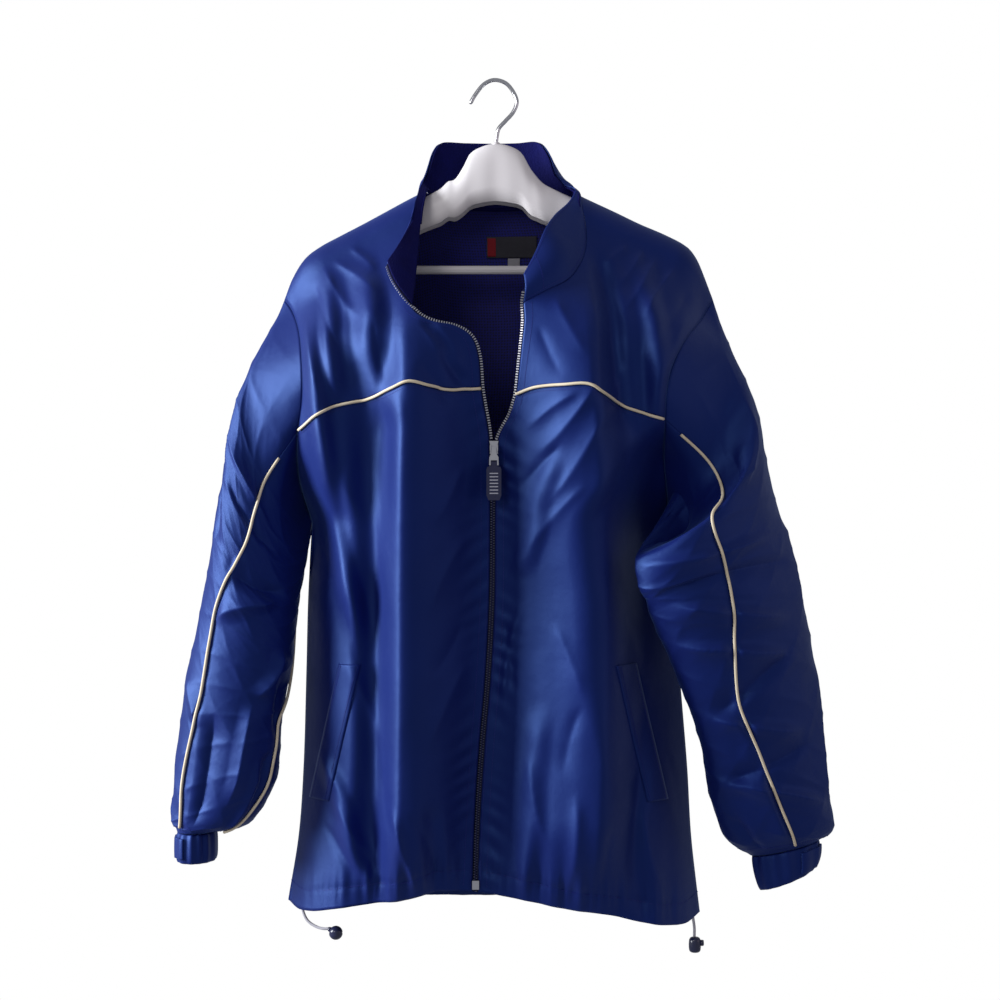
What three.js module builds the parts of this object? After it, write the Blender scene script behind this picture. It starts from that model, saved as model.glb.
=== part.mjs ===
// A light nylon windbreaker hanging on a contoured plastic hanger with a wire hook.
// Millimetres, +Z up. The front faces -Y. The origin is inside the crown of the hook.
// Left and right are the wearer's, so the wearer's left is +X.
import * as THREE from 'three';

// Driving dimensions
const CLOTH = 1.2; // wall of the shell cloth
const LINING = 1.0; // wall of the mesh and tricot linings
const SEAM_GAP = 0.3; // space between two sewn pieces
const ARMHOLE_GAP = 1.0; // room for the turned edges where a sleeve is set in
const ARM_DEPTH = 24; // how far the cloth stands out over a hanger arm
const SHOULDER_SPREAD = 150; // drop below the ridge over which the body fills out
const LENS_POWER = 1.8; // how full the body's section is towards its side seams
const PIPING_RADIUS = 1.5;
const TAPE_REACH = 2.7; // zip tape showing past the folded front edge
const TAPE_UNDER = 9; // zip tape behind the front edge
const TAPE_UNDER_OPEN = 3; // the same where the fronts are open
const TAPE_WALL = 1.0;
const HANGER_WALL = 2.4;
const HOOK_WIRE = 4.2;
const BAR_DIAMETER = 9;
const CORD_DIAMETER = 3;
const COLUMNS = 15; // cells across each front panel

const FRONT = -1;
const BACK = 1;

// Turns rows of numbers into rows with named columns.
function table(columns, ...rows) {
  return rows.map((row) => Object.fromEntries(columns.map((name, i) => [name, row[i]])));
}

// A smooth function through one column of a table, read against another column.
function reading(rows, key, column) {
  const sorted = [...rows].sort((a, b) => a[key] - b[key]);
  const keys = sorted.map((row) => row[key]);
  const values = sorted.map((row) => row[column]);
  const last = keys.length - 1;
  const slope = (i) => {
    const a = Math.max(i - 1, 0);
    const b = Math.min(i + 1, last);
    return (values[b] - values[a]) / (keys[b] - keys[a]);
  };
  return (k) => {
    if (k <= keys[0]) return values[0] + (k - keys[0]) * slope(0);
    if (k >= keys[last]) return values[last] + (k - keys[last]) * slope(last);
    let i = 0;
    while (keys[i + 1] < k) i += 1;
    const span = keys[i + 1] - keys[i];
    const t = (k - keys[i]) / span;
    const rise = values[i + 1] - values[i];
    const a = slope(i) * span - rise;
    const b = rise - slope(i + 1) * span;
    return values[i] + rise * t + t * (1 - t) * (a * (1 - t) + b * t);
  };
}

const clamp01 = (t) => Math.min(Math.max(t, 0), 1);
const ease = (t) => clamp01(t) ** 2 * (3 - 2 * clamp01(t));
const roundOver = (t) => Math.sqrt(1 - (1 - clamp01(t)) ** 2);
const lens = (t) => 1 - (1 - clamp01(t)) ** LENS_POWER;
const mix = (a, b, t) => a + (b - a) * t;

// The line of the shoulders, seen from the front, over the hanger's arms.
const RIDGE = table(['x', 'z'],
  [-219, -229], [-211, -208], [-198, -187], [-182, -174], [-160, -162], [-135, -149],
  [-112, -136.5], [-89, -124], [-66, -112.5], [-3, -82], [80, -114.5], [100, -124],
  [127, -136.5], [153, -149], [183, -162], [204, -174], [214, -187], [223, -208], [231, -229]);

// Where the front and back surfaces would meet at each side, and how wide the rounding is.
const SIDES = table(['z', 'right', 'rightRound', 'left', 'leftRound'],
  [-180, -240, 60, 252, 60],
  [-229, -224, 60, 236, 60],
  [-262, -228, 60, 238, 60],
  [-315, -228, 60, 228, 62],
  [-370, -226, 60, 214, 70],
  [-420, -210, 60, 198, 90],
  [-463, -190, 62, 185, 110],
  [-540, -194, 64, 191, 112],
  [-620, -196, 66, 196, 110],
  [-720, -199, 68, 204, 90],
  [-790, -204, 68, 208, 76],
  [-866, -215, 66, 218, 70]);

// How far the front and the back stand off the hanger's plane.
const DEPTHS = table(['z', 'front', 'back'],
  [-100, 88, 50], [-250, 88, 52], [-350, 86, 50], [-450, 79, 46], [-540, 71, 43],
  [-650, 67, 41], [-760, 65, 40], [-870, 61, 38]);

// The bottom edge of the hem.
const HEM = table(['x', 'front', 'back'],
  [-216, -858, -858], [-200, -864, -862], [-156, -855, -864], [-90, -844, -862], [-61, -837, -861],
  [-20, -838, -861], [28, -845, -862], [76, -854, -864], [117, -860, -866], [151, -869, -869],
  [199, -877, -873], [218, -870, -870]);

// Large folds of the front: a ridge is positive, a valley negative. Each runs from its top to
// its bottom through a middle point and fades at both ends.
const FRONT_FOLDS = table(
  ['topZ', 'topX', 'middleX', 'bottomX', 'bottomZ', 'height', 'rightWidth', 'leftWidth'],
  [-205, -84, -90, -93, -900, 37, 30, 78],
  [-160, -143, -122, -106, -372, 13, 24, 24],
  [-225, -194, -172, -138, -600, 12, 17, 19],
  [-185, -179, -166, -157, -345, 8, 14, 15],
  [-300, -128, -124, -126, -860, -9, 22, 20],
  [-200, 90, 112, 101, -900, 40, 104, 46],
  [-170, 108, 119, 126, -380, -13, 16, 18],
  [-165, 150, 166, 171, -400, 10, 18, 18],
  [-330, 0, -4, -19, -880, -11, 46, 46],
  [-255, -66, -46, -30, -330, -5, 10, 12],
  [-690, -176, -150, -122, -850, 7, 16, 16],
  [-740, -62, -58, -50, -870, -5, 15, 14],
  [-640, 46, 40, 30, -850, 5, 16, 18],
  [-700, 150, 144, 152, -880, -7, 15, 16],
  [-390, 60, 44, 30, -520, 4, 16, 16],
  [-360, 172, 162, 160, -580, -24, 34, 30]);

// Folds of the back hang from the shoulder blades.
const BACK_FOLDS = table(
  ['topZ', 'topX', 'middleX', 'bottomX', 'bottomZ', 'height', 'rightWidth', 'leftWidth'],
  [-190, -120, -112, -104, -900, 11, 36, 44],
  [-230, -40, -34, -28, -900, -8, 34, 30],
  [-200, 66, 58, 46, -890, 10, 44, 36],
  [-230, 128, 132, 140, -900, -8, 30, 26],
  [-210, 168, 164, 168, -700, 6, 22, 22],
  [-260, -168, -162, -166, -840, 5, 20, 22]);

// Small gathers that the elastic cord draws along the hem.
const GATHER = { wave: 27, height: 2.2, fade: 95, edge: 26 };

const ridgeZ = reading(RIDGE, 'x', 'z');
const rightLimit = reading(SIDES, 'z', 'right');
const rightRound = reading(SIDES, 'z', 'rightRound');
const leftLimit = reading(SIDES, 'z', 'left');
const leftRound = reading(SIDES, 'z', 'leftRound');
const depthOf = {
  [FRONT]: reading(DEPTHS, 'z', 'front'),
  [BACK]: reading(DEPTHS, 'z', 'back'),
};
const hemZ = {
  [FRONT]: reading(HEM, 'x', 'front'),
  [BACK]: reading(HEM, 'x', 'back'),
};

function foldHeight(folds, x, z) {
  let sum = 0;
  for (const fold of folds) {
    if (z > fold.topZ || z < fold.bottomZ) continue;
    const t = (fold.topZ - z) / (fold.topZ - fold.bottomZ);
    const upper = mix(fold.topX, fold.middleX, ease(t * 2));
    const axis = t < 0.5 ? upper : mix(fold.middleX, fold.bottomX, ease(t * 2 - 1));
    const away = x - axis;
    const width = away < 0 ? fold.rightWidth : fold.leftWidth;
    if (Math.abs(away) >= width) continue;
    const fade = ease(t * 5) * ease((1 - t) * 5);
    sum += fold.height * fade * Math.cos((away / width) * Math.PI / 2) ** 2;
  }
  return sum;
}

function gatherHeight(x, z, side) {
  const above = z - hemZ[side](x);
  const swell = Math.exp(-Math.abs(above - GATHER.edge) / GATHER.fade * 2.4);
  const uneven = 0.6 + 0.4 * Math.sin(x * 0.047 + side);
  return GATHER.height * uneven * swell * Math.sin((x * Math.PI * 2) / GATHER.wave);
}

// How far the cloth stands off the hanger's plane at a place seen from the front.
function standOff(side, x, z) {
  const drop = ridgeZ(x) - z;
  if (drop <= 0) return 0;
  const overArm = ARM_DEPTH * roundOver(drop / ARM_DEPTH);
  const body = (depthOf[side](z) - ARM_DEPTH) * ease(drop / SHOULDER_SPREAD);
  const toRight = lens((x - rightLimit(z)) / rightRound(z));
  const toLeft = lens((leftLimit(z) - x) / leftRound(z));
  const folds = side === FRONT ? FRONT_FOLDS : BACK_FOLDS;
  const low = ease((drop - 20) / 90);
  const relief = foldHeight(folds, x, z) * low + gatherHeight(x, z, side);
  return (overArm + body + relief) * toRight * toLeft;
}

// A point of the body's cloth with its outward direction.
function clothPoint(side, x, z) {
  const step = 0.5;
  const slopeX = (standOff(side, x + step, z) - standOff(side, x - step, z)) / (2 * step);
  const slopeZ = (standOff(side, x, z + step) - standOff(side, x, z - step)) / (2 * step);
  const half = SEAM_GAP / 2;
  return {
    p: new THREE.Vector3(x, side * Math.max(standOff(side, x, z), half), z),
    n: new THREE.Vector3(-slopeX, side, -slopeZ).normalize(),
  };
}

// An edge that meets the other side of the body is mitred in the hanger's plane.
function mitre(node, side) {
  const flat = new THREE.Vector3(node.n.x, 0, node.n.z);
  const reach = Math.max(flat.length(), 0.4);
  node.n = flat.normalize().multiplyScalar(1 / reach);
  node.p.y = side * SEAM_GAP / 2;
}

// A closed wall from a grid of outer points: its inner face lies one thickness further in.
// A wrapped grid joins its last column to its first.
function wall(grid, thickness, wrapped = false) {
  const rows = grid.length;
  const cols = grid[0].length;
  const positions = [];
  for (const inner of [false, true]) {
    for (const row of grid) {
      for (const node of row) {
        const p = node.p.clone();
        if (inner) p.addScaledVector(node.n, -thickness);
        positions.push(p.x, p.y, p.z);
      }
    }
  }
  const layer = rows * cols;
  const at = (i, j, inner) => (inner ? layer : 0) + i * cols + (j % cols);
  const index = [];
  const quad = (a, b, c, d) => index.push(a, b, c, a, c, d);
  const spans = wrapped ? cols : cols - 1;
  for (let i = 0; i < rows - 1; i += 1) {
    for (let j = 0; j < spans; j += 1) {
      quad(at(i, j, 0), at(i, j + 1, 0), at(i + 1, j + 1, 0), at(i + 1, j, 0));
      quad(at(i, j, 1), at(i + 1, j, 1), at(i + 1, j + 1, 1), at(i, j + 1, 1));
    }
  }
  for (let j = 0; j < spans; j += 1) {
    quad(at(0, j, 1), at(0, j + 1, 1), at(0, j + 1, 0), at(0, j, 0));
    quad(at(rows - 1, j + 1, 0), at(rows - 1, j + 1, 1), at(rows - 1, j, 1), at(rows - 1, j, 0));
  }
  if (!wrapped) {
    for (let i = 0; i < rows - 1; i += 1) {
      quad(at(i, 0, 0), at(i + 1, 0, 0), at(i + 1, 0, 1), at(i, 0, 1));
      quad(at(i + 1, cols - 1, 1), at(i + 1, cols - 1, 0), at(i, cols - 1, 0), at(i, cols - 1, 1));
    }
  }
  return faceOut(positions, index);
}

// Turns the triangles round where the closed mesh would be inside out.
function faceOut(positions, index) {
  let volume = 0;
  const corner = (k) => new THREE.Vector3().fromArray(positions, index[k] * 3);
  for (let k = 0; k < index.length; k += 3) {
    volume += corner(k).dot(corner(k + 1).cross(corner(k + 2)));
  }
  if (volume < 0) index.reverse();
  const geometry = new THREE.BufferGeometry();
  geometry.setAttribute('position', new THREE.Float32BufferAttribute(positions, 3));
  geometry.setIndex(index);
  geometry.computeVertexNormals();
  return geometry;
}

// A solid through closed sections, each a list of points in the same order, capped at both ends.
function loft(sections) {
  const cols = sections[0].length;
  const positions = sections.flat().flatMap((p) => [p.x, p.y, p.z]);
  const index = [];
  for (let i = 0; i < sections.length - 1; i += 1) {
    for (let j = 0; j < cols; j += 1) {
      const a = i * cols + j;
      const b = i * cols + ((j + 1) % cols);
      index.push(a, b, b + cols, a, b + cols, a + cols);
    }
  }
  const end = (sections.length - 1) * cols;
  for (let j = 1; j < cols - 1; j += 1) {
    index.push(0, j + 1, j);
    index.push(end, end + j, end + j + 1);
  }
  return faceOut(positions, index);
}

// A round rod along a list of points, its sections turned as little as possible.
function rod(points, radius, sides) {
  const sections = [];
  let side = null;
  for (let i = 0; i < points.length; i += 1) {
    const before = points[Math.max(i - 1, 0)];
    const after = points[Math.min(i + 1, points.length - 1)];
    const along = after.clone().sub(before).normalize();
    if (!side) side = Math.abs(along.y) < 0.9 ? new THREE.Vector3(0, 1, 0) : new THREE.Vector3(1, 0, 0);
    side = side.clone().addScaledVector(along, -side.dot(along)).normalize();
    const up = along.clone().cross(side);
    const section = [];
    for (let k = 0; k < sides; k += 1) {
      const turn = (k / sides) * Math.PI * 2;
      const p = points[i].clone().addScaledVector(side, radius * Math.cos(turn));
      section.push(p.addScaledVector(up, radius * Math.sin(turn)));
    }
    sections.push(section);
  }
  return loft(sections);
}

// Points evenly along a smooth line through table rows; rows without y lie in the front view.
function sample(rows, cells) {
  const points = rows.map((row) => new THREE.Vector3(row.x, row.y ?? 0, row.z));
  return new THREE.CatmullRomCurve3(points, false, 'centripetal').getSpacedPoints(cells);
}

// Fills four edges, seen from the front, with a smooth net of places.
function net(bottom, top, inner, outer) {
  const rows = inner.length - 1;
  const cols = bottom.length - 1;
  const places = [];
  for (let i = 0; i <= rows; i += 1) {
    const v = i / rows;
    places.push([]);
    for (let j = 0; j <= cols; j += 1) {
      const u = j / cols;
      const place = {};
      for (const axis of ['x', 'z']) {
        const across = mix(inner[i][axis], outer[i][axis], u);
        const up = mix(bottom[j][axis], top[j][axis], v);
        const low = mix(bottom[0][axis], bottom[cols][axis], u);
        const high = mix(top[0][axis], top[cols][axis], u);
        place[axis] = across + up - mix(low, high, v);
      }
      places[i].push(place);
    }
  }
  return places;
}

// Moves the points of one edge back along the cloth, square to the edge, to leave a seam's room.
function pullBack(grid, edge, distance = SEAM_GAP / 2) {
  const rows = grid.length - 1;
  const cols = grid[0].length - 1;
  const lines = {
    'first row': [grid[0], grid[1]],
    'last row': [grid[rows], grid[rows - 1]],
    'first column': [grid.map((row) => row[0]), grid.map((row) => row[1])],
    'last column': [grid.map((row) => row[cols]), grid.map((row) => row[cols - 1])],
  };
  const [line, next] = lines[edge];
  const moves = line.map((node, i) => {
    const after = line[Math.min(i + 1, line.length - 1)].p;
    const along = after.clone().sub(line[Math.max(i - 1, 0)].p).normalize();
    const inward = next[i].p.clone().sub(node.p);
    return inward.addScaledVector(along, -inward.dot(along)).setLength(distance);
  });
  line.forEach((node, i) => node.p.add(moves[i]));
}

const garment = new THREE.Group();
const grids = {};

const NAVY = { color: 0x0a1470, roughness: 0.42, metalness: 0 };
const INSIDE = { color: 0x0c1030, roughness: 0.9, metalness: 0 };
const CREAM = { color: 0xeedfc0, roughness: 0.6, metalness: 0 };
const BLACK_BLUE = { color: 0x0b0d22, roughness: 0.5, metalness: 0 };
const WHITE_PLASTIC = { color: 0xe9e3e6, roughness: 0.35, metalness: 0 };
const STEEL = { color: 0xb8bcc4, roughness: 0.25, metalness: 1 };

function add(name, geometry, finish) {
  const mesh = new THREE.Mesh(geometry, new THREE.MeshStandardMaterial(finish));
  mesh.name = name;
  garment.add(mesh);
}

// Seams of each half of the body, seen from the front. They run upwards and outwards.
const HALVES = {
  right: {
    zip: table(['x', 'z'], [-21, -838], [-19, -770], [-14, -690], [-8, -619], [-4, -540],
      [-3, -440], [-4, -376], [-9, -345], [-12, -327]),
    opening: table(['x', 'z'], [-12, -327], [-15, -292], [-22, -274], [-38, -264], [-60, -260],
      [-76, -252], [-82, -244]),
    neck: table(['x', 'z'], [-82, -244], [-79, -210], [-77, -170], [-74, -136], [-70, -114.3]),
    shoulder: [-70, -219],
    yokeSeam: table(['x', 'z'], [-12, -327], [-43, -329], [-63, -326], [-83, -322], [-98, -328],
      [-123, -337], [-143, -341], [-163, -346], [-183, -359], [-200, -370]),
    armholeFront: table(['x', 'z'], [-200, -370], [-194, -342], [-193, -312], [-199, -268],
      [-210, -241], [-219, -229]),
    armholeLow: table(['x', 'z'], [-190, -463], [-197, -440], [-202, -410], [-200, -370]),
    armholeBack: table(['x', 'z'], [-190, -463], [-191, -420], [-188, -365], [-190, -310],
      [-201, -262], [-219, -229]),
    side: table(['x', 'z'], [-215, -858], [-204, -790], [-199, -720], [-196, -620], [-194, -540],
      [-190, -463]),
  },
  left: {
    zip: table(['x', 'z'], [-15, -838.5], [-13, -770], [-8, -690], [-2, -619], [2, -540],
      [3, -440], [6, -376], [18, -352], [24, -333]),
    opening: table(['x', 'z'], [24, -333], [27, -305], [30, -279], [32, -258], [31, -241]),
    neck: table(['x', 'z'], [31, -241], [53, -229], [78, -214], [94, -186], [96, -155],
      [88, -118.4]),
    shoulder: [88, 231],
    yokeSeam: table(['x', 'z'], [24, -333], [42, -327], [72, -325], [95, -325], [110, -334],
      [132, -345], [157, -353], [174, -358]),
    armholeFront: table(['x', 'z'], [174, -358], [175, -330], [180, -306], [196, -276],
      [216, -252], [231, -229]),
    armholeLow: table(['x', 'z'], [185, -460], [181, -430], [176, -395], [174, -358]),
    armholeBack: table(['x', 'z'], [185, -460], [190, -415], [192, -360], [198, -305],
      [214, -262], [231, -229]),
    side: table(['x', 'z'], [217, -872], [208, -790], [204, -720], [196, -620], [191, -540],
      [185, -460]),
  },
};
const BACK_NECK = table(['x', 'z'], [-70, -114.3], [-56, -124], [-3, -131], [62, -126],
  [88, -118.4]);

const SLEEVE_ROWS = 12;
const CELLS = {
  zip: 15, opening: 6, neck: 6, armholeLow: 4, backArmhole: 8, backSide: 8, backNeck: 8,
  backShoulder: 8,
};

function shoulderLine([from, to], cells) {
  const places = [];
  for (let j = 0; j <= cells; j += 1) {
    const x = mix(from, to, j / cells);
    places.push({ x, z: ridgeZ(x) });
  }
  return places;
}

function hemLine(from, to, side, cells) {
  const places = [];
  for (let j = 0; j <= cells; j += 1) {
    const x = mix(from, to, j / cells);
    places.push({ x, z: hemZ[side](x) });
  }
  return places;
}

const joined = (...lines) => lines.flatMap((line, i) => (i ? line.slice(1) : line));
const onCloth = (places, side) => places.map((row) => row.map((q) => clothPoint(side, q.x, q.z)));

// The rows under the shoulder line lie closer together, where the cloth rounds over the arms.
function crowdTop(places) {
  const last = places.length - 1;
  const between = (a, b, t) => a.map((q, j) => ({ x: mix(q.x, b[j].x, t), z: mix(q.z, b[j].z, t) }));
  const near = between(places[last], places[last - 1], 0.28);
  const next = between(places[last], places[last - 2], 0.5);
  return [...places.slice(0, last - 2), next, near, places[last]];
}

// Yoke and lower panel of one front half.
function frontHalf(hand) {
  const seams = HALVES[hand];
  const yokeBottom = sample(seams.yokeSeam, COLUMNS);
  const inner = joined(sample(seams.opening, CELLS.opening), sample(seams.neck, CELLS.neck));
  const yokeRows = CELLS.opening + CELLS.neck;
  const yoke = onCloth(crowdTop(net(yokeBottom, shoulderLine(seams.shoulder, COLUMNS), inner,
    sample(seams.armholeFront, yokeRows))), FRONT);
  const zipLine = sample(seams.zip, CELLS.zip);
  const outer = joined(sample(seams.side, CELLS.zip - CELLS.armholeLow),
    sample(seams.armholeLow, CELLS.armholeLow));
  const hem = hemLine(zipLine[0].x, outer[0].x, FRONT, COLUMNS);
  zipLine[0].z = hem[0].z;
  outer[0].z = hem[COLUMNS].z;
  const lower = onCloth(net(hem, yokeBottom, zipLine, outer), FRONT);
  yoke[yokeRows].forEach((node) => mitre(node, FRONT));
  for (let i = 0; i <= CELLS.zip - CELLS.armholeLow; i += 1) mitre(lower[i][COLUMNS], FRONT);
  grids[`yoke_${hand}`] = yoke;
  grids[`front_${hand}`] = lower;
}

// The back is one piece from armhole to armhole.
function backPanel() {
  const { right, left } = HALVES;
  const cols = CELLS.backShoulder * 2 + CELLS.backNeck;
  const top = joined(shoulderLine([...right.shoulder].reverse(), CELLS.backShoulder),
    sample(BACK_NECK, CELLS.backNeck), shoulderLine(left.shoulder, CELLS.backShoulder));
  const edge = (seams) => joined(sample(seams.side, CELLS.backSide),
    sample(seams.armholeBack, CELLS.backArmhole));
  const rightEdge = edge(right);
  const leftEdge = edge(left);
  const hem = hemLine(rightEdge[0].x, leftEdge[0].x, BACK, cols);
  rightEdge[0].z = hem[0].z;
  leftEdge[0].z = hem[cols].z;
  const back = onCloth(crowdTop(net(hem, top, rightEdge, leftEdge)), BACK);
  const topRow = back[back.length - 1];
  topRow.forEach((node, j) => {
    const shoulder = j <= CELLS.backShoulder || j >= cols - CELLS.backShoulder;
    if (shoulder) mitre(node, BACK);
  });
  for (let i = 0; i <= CELLS.backSide; i += 1) {
    mitre(back[i][0], BACK);
    mitre(back[i][cols], BACK);
  }
  grids.back = back;
}

frontHalf('right');
frontHalf('left');
backPanel();

// Sleeves
// Each row is a section: its outer end, its inner end, how far it swells to the front and back,
// and where its two seams lie, from 0 at the outer end over the front (1 at the inner end) to 2.
const SLEEVE_COLUMNS = ['ox', 'oy', 'oz', 'ix', 'iy', 'iz', 'front', 'back', 'seamA', 'seamB'];
const SLEEVES = {
  right: table(SLEEVE_COLUMNS,
    [-234, 0, -271, -198, -18, -486, 52, 42, 0.7, 1.5],
    [-247, -2, -313, -203, -30, -505, 55, 44, 0.68, 1.48],
    [-259, -4, -362, -207, -38, -530, 54, 46, 0.64, 1.44],
    [-270, -6, -410, -210, -42, -555, 53, 46, 0.58, 1.38],
    [-281, -8, -460, -211, -42, -583, 51, 46, 0.49, 1.3],
    [-292, -10, -515, -212, -42, -612, 48, 46, 0.41, 1.22],
    [-304, -12, -570, -216, -42, -641, 46, 44, 0.39, 1.1],
    [-315, -14, -618, -220, -42, -668, 44, 42, 0.39, 0.98],
    [-322, -16, -665, -221, -42, -700, 42, 40, 0.34, 0.93],
    [-329, -20, -722, -227, -38, -735, 40, 38, 0.28, 0.88],
    [-330, -22, -763, -252, -34, -772, 34, 34, 0.3, 0.8],
    [-327, -20, -781, -287, -24, -781, 29, 29, 0.3, 0.8]),
  left: table(SLEEVE_COLUMNS,
    [243, -3, -272, 194, -12, -472, 58, 30, 0.7, 1.5],
    [256, -5, -322, 180, -56, -480, 62, 28, 0.7, 1.56],
    [273, -6, -380, 146, -92, -494, 56, 16, 0.62, 1.55],
    [288, -8, -436, 147, -97, -526, 48, 18, 0.57, 1.47],
    [302, -10, -481, 156, -92, -540, 45, 36, 0.57, 1.42],
    [315, -12, -527, 166, -85, -568, 43, 40, 0.58, 1.38],
    [326, -14, -574, 184, -76, -606, 41, 42, 0.63, 1.34],
    [333, -17, -625, 203, -66, -655, 38, 40, 0.66, 1.3],
    [340, -20, -685, 216, -58, -698, 35, 38, 0.6, 1.26],
    [346, -22, -735, 222, -50, -738, 33, 36, 0.53, 1.23],
    [353, -22, -776, 240, -42, -786, 28, 32, 0.48, 1.2],
    [339, -22, -790, 266, -30, -806, 21, 21, 0.45, 1.2]),
};

// Folds that ring the sleeves, deepest at the elbow.
const SLEEVE_CREASES = table(['hand', 'row', 'turn', 'width', 'height'],
  [-1, 4, 0.35, 0.28, 7], [-1, 6, 0.7, 0.22, -5], [-1, 7, 0.3, 0.2, 5], [-1, 9, 0.6, 0.3, 6],
  [-1, 10, 0.3, 0.2, -5], [-1, 5, 1.5, 0.4, 6], [-1, 8, 1.5, 0.4, 6],
  [1, 5, 0.5, 0.22, 6], [1, 7, 0.7, 0.2, 7],
  [1, 8, 0.5, 0.2, -6], [1, 9, 0.6, 0.24, 6], [1, 5, 1.5, 0.4, 6], [1, 9, 1.5, 0.4, 6]);

function turnOfColumn(k, marks, cols) {
  const stops = [[0, 0], [marks.a, marks.seamA], [marks.b, marks.seamB], [cols, 2]];
  for (let s = 0; s < 3; s += 1) {
    const [from, low] = stops[s];
    const [to, high] = stops[s + 1];
    if (k <= to) return mix(low, high, (k - from) / (to - from));
  }
  return 2;
}

function sectionPoint(row, turn) {
  const centre = new THREE.Vector3(row.ox + row.ix, row.oy + row.iy, row.oz + row.iz).multiplyScalar(0.5);
  const reach = new THREE.Vector3(row.ox, row.oy, row.oz).sub(centre);
  const hand = Math.sign(row.ox);
  const ahead = new THREE.Vector3(reach.y, -reach.x, 0).multiplyScalar(hand).normalize();
  const angle = turn * Math.PI;
  const swell = Math.sin(angle) > 0 ? row.front : row.back;
  return centre.addScaledVector(reach, Math.cos(angle)).addScaledVector(ahead, swell * Math.sin(angle));
}

function creaseHeight(hand, rowIndex, turn) {
  let sum = 0;
  for (const crease of SLEEVE_CREASES) {
    if (crease.hand !== hand || crease.row !== rowIndex) continue;
    const away = Math.abs(turn - crease.turn) / crease.width;
    if (away < 1) sum += crease.height * Math.cos(away * Math.PI / 2) ** 2;
  }
  return sum;
}

// Directions out of a closed tube of points.
function tubeNormals(points) {
  const rows = points.length;
  const cols = points[0].length;
  let outward = 0;
  const nodes = points.map((ring, i) => ring.map((p, j) => {
    const around = points[i][(j + 1) % cols].clone().sub(points[i][(j + cols - 1) % cols]);
    const along = points[Math.min(i + 1, rows - 1)][j].clone().sub(points[Math.max(i - 1, 0)][j]);
    const n = around.cross(along).normalize();
    const centre = ring.reduce((sum, q) => sum.add(q), new THREE.Vector3()).divideScalar(cols);
    outward += Math.sign(n.dot(p.clone().sub(centre)));
    return { p: p.clone(), n };
  }));
  if (outward < 0) nodes.flat().forEach((node) => node.n.negate());
  return nodes;
}

// The loop of the armhole, from its top down the front and up the back.
function armholeLoop(hand) {
  const yoke = grids[`yoke_${hand}`].map((row) => row[COLUMNS]);
  const low = grids[`front_${hand}`].map((row) => row[COLUMNS]);
  const first = CELLS.zip - CELLS.armholeLow;
  const front = [...low.slice(first, -1), ...yoke].reverse();
  const edge = hand === 'right' ? 0 : grids.back[0].length - 1;
  const back = grids.back.map((row) => row[edge]).slice(CELLS.backSide + 1, -1);
  return [...front, ...back];
}

function sleeve(hand) {
  const armhole = armholeLoop(hand);
  const cols = armhole.length;
  const frontCells = CELLS.opening + CELLS.neck + CELLS.armholeLow;
  const marks = { a: frontCells - 4, b: frontCells + 4 };
  const sign = hand === 'right' ? -1 : 1;
  const rings = [armhole.map((node) => node.p.clone())];
  const top = armhole[0].p.z;
  const half = (top - armhole[frontCells].p.z) / 2;
  const naturalTurn = armhole.map((node, k) => {
    const turn = Math.acos(clamp01((node.p.z - top + 2 * half) / (2 * half)) * 2 - 1) / Math.PI;
    return k <= frontCells ? turn : 2 - turn;
  });
  SLEEVES[hand].forEach((row, i) => {
    const blend = ease((i + 2) / 5);
    const ring = [];
    for (let k = 0; k < cols; k += 1) {
      const turn = turnOfColumn(k, { ...marks, seamA: row.seamA, seamB: row.seamB }, cols);
      ring.push(sectionPoint(row, mix(naturalTurn[k], turn, blend)));
    }
    rings.push(ring);
  });
  const tube = tubeNormals(rings);
  SLEEVES[hand].forEach((row, i) => {
    tube[i + 1].forEach((node, k) => {
      const turn = turnOfColumn(k, { ...marks, seamA: row.seamA, seamB: row.seamB }, cols);
      if (i < SLEEVE_ROWS - 1) node.p.addScaledVector(node.n, creaseHeight(sign, i + 1, turn));
    });
  });
  const creased = tubeNormals(tube.map((ring) => ring.map((node) => node.p)));
  creased[0].forEach((node, k) => {
    node.p.addScaledVector(creased[1][k].p.clone().sub(node.p).normalize(), ARMHOLE_GAP);
    const onFold = k === 0 || k === frontCells;
    if (!onFold) node.n.copy(armhole[k].n);
  });
  const slice = (from, to) => creased.map((ring) => {
    const part = [];
    for (let k = from; k <= to; k += 1) {
      const node = ring[k % cols];
      part.push({ p: node.p.clone(), n: node.n.clone() });
    }
    return part;
  });
  grids[`sleeve_front_${hand}`] = slice(marks.a, marks.b);
  grids[`sleeve_back_${hand}`] = slice(marks.b, cols + marks.a);
  grids[`sleeve_seam_a_${hand}`] = creased.map((ring) => ring[marks.a]);
  grids[`sleeve_seam_b_${hand}`] = creased.map((ring) => ring[marks.b]);
}

sleeve('right');
sleeve('left');

// The body's armhole edges keep clear of the sleeves' first sections.
function openArmhole(row, edge, next) {
  const towards = row[next].p.clone().sub(row[edge].p).normalize();
  row[edge].p.addScaledVector(towards, ARMHOLE_GAP / 2);
}
for (const hand of ['right', 'left']) {
  grids[`yoke_${hand}`].slice(0, -1).forEach((row) => openArmhole(row, COLUMNS, COLUMNS - 1));
  const low = grids[`front_${hand}`].slice(CELLS.zip - CELLS.armholeLow + 1);
  low.forEach((row) => openArmhole(row, COLUMNS, COLUMNS - 1));
}
for (const row of grids.back.slice(CELLS.backSide + 1, -1)) {
  openArmhole(row, 0, 1);
  openArmhole(row, row.length - 1, row.length - 2);
}

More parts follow.
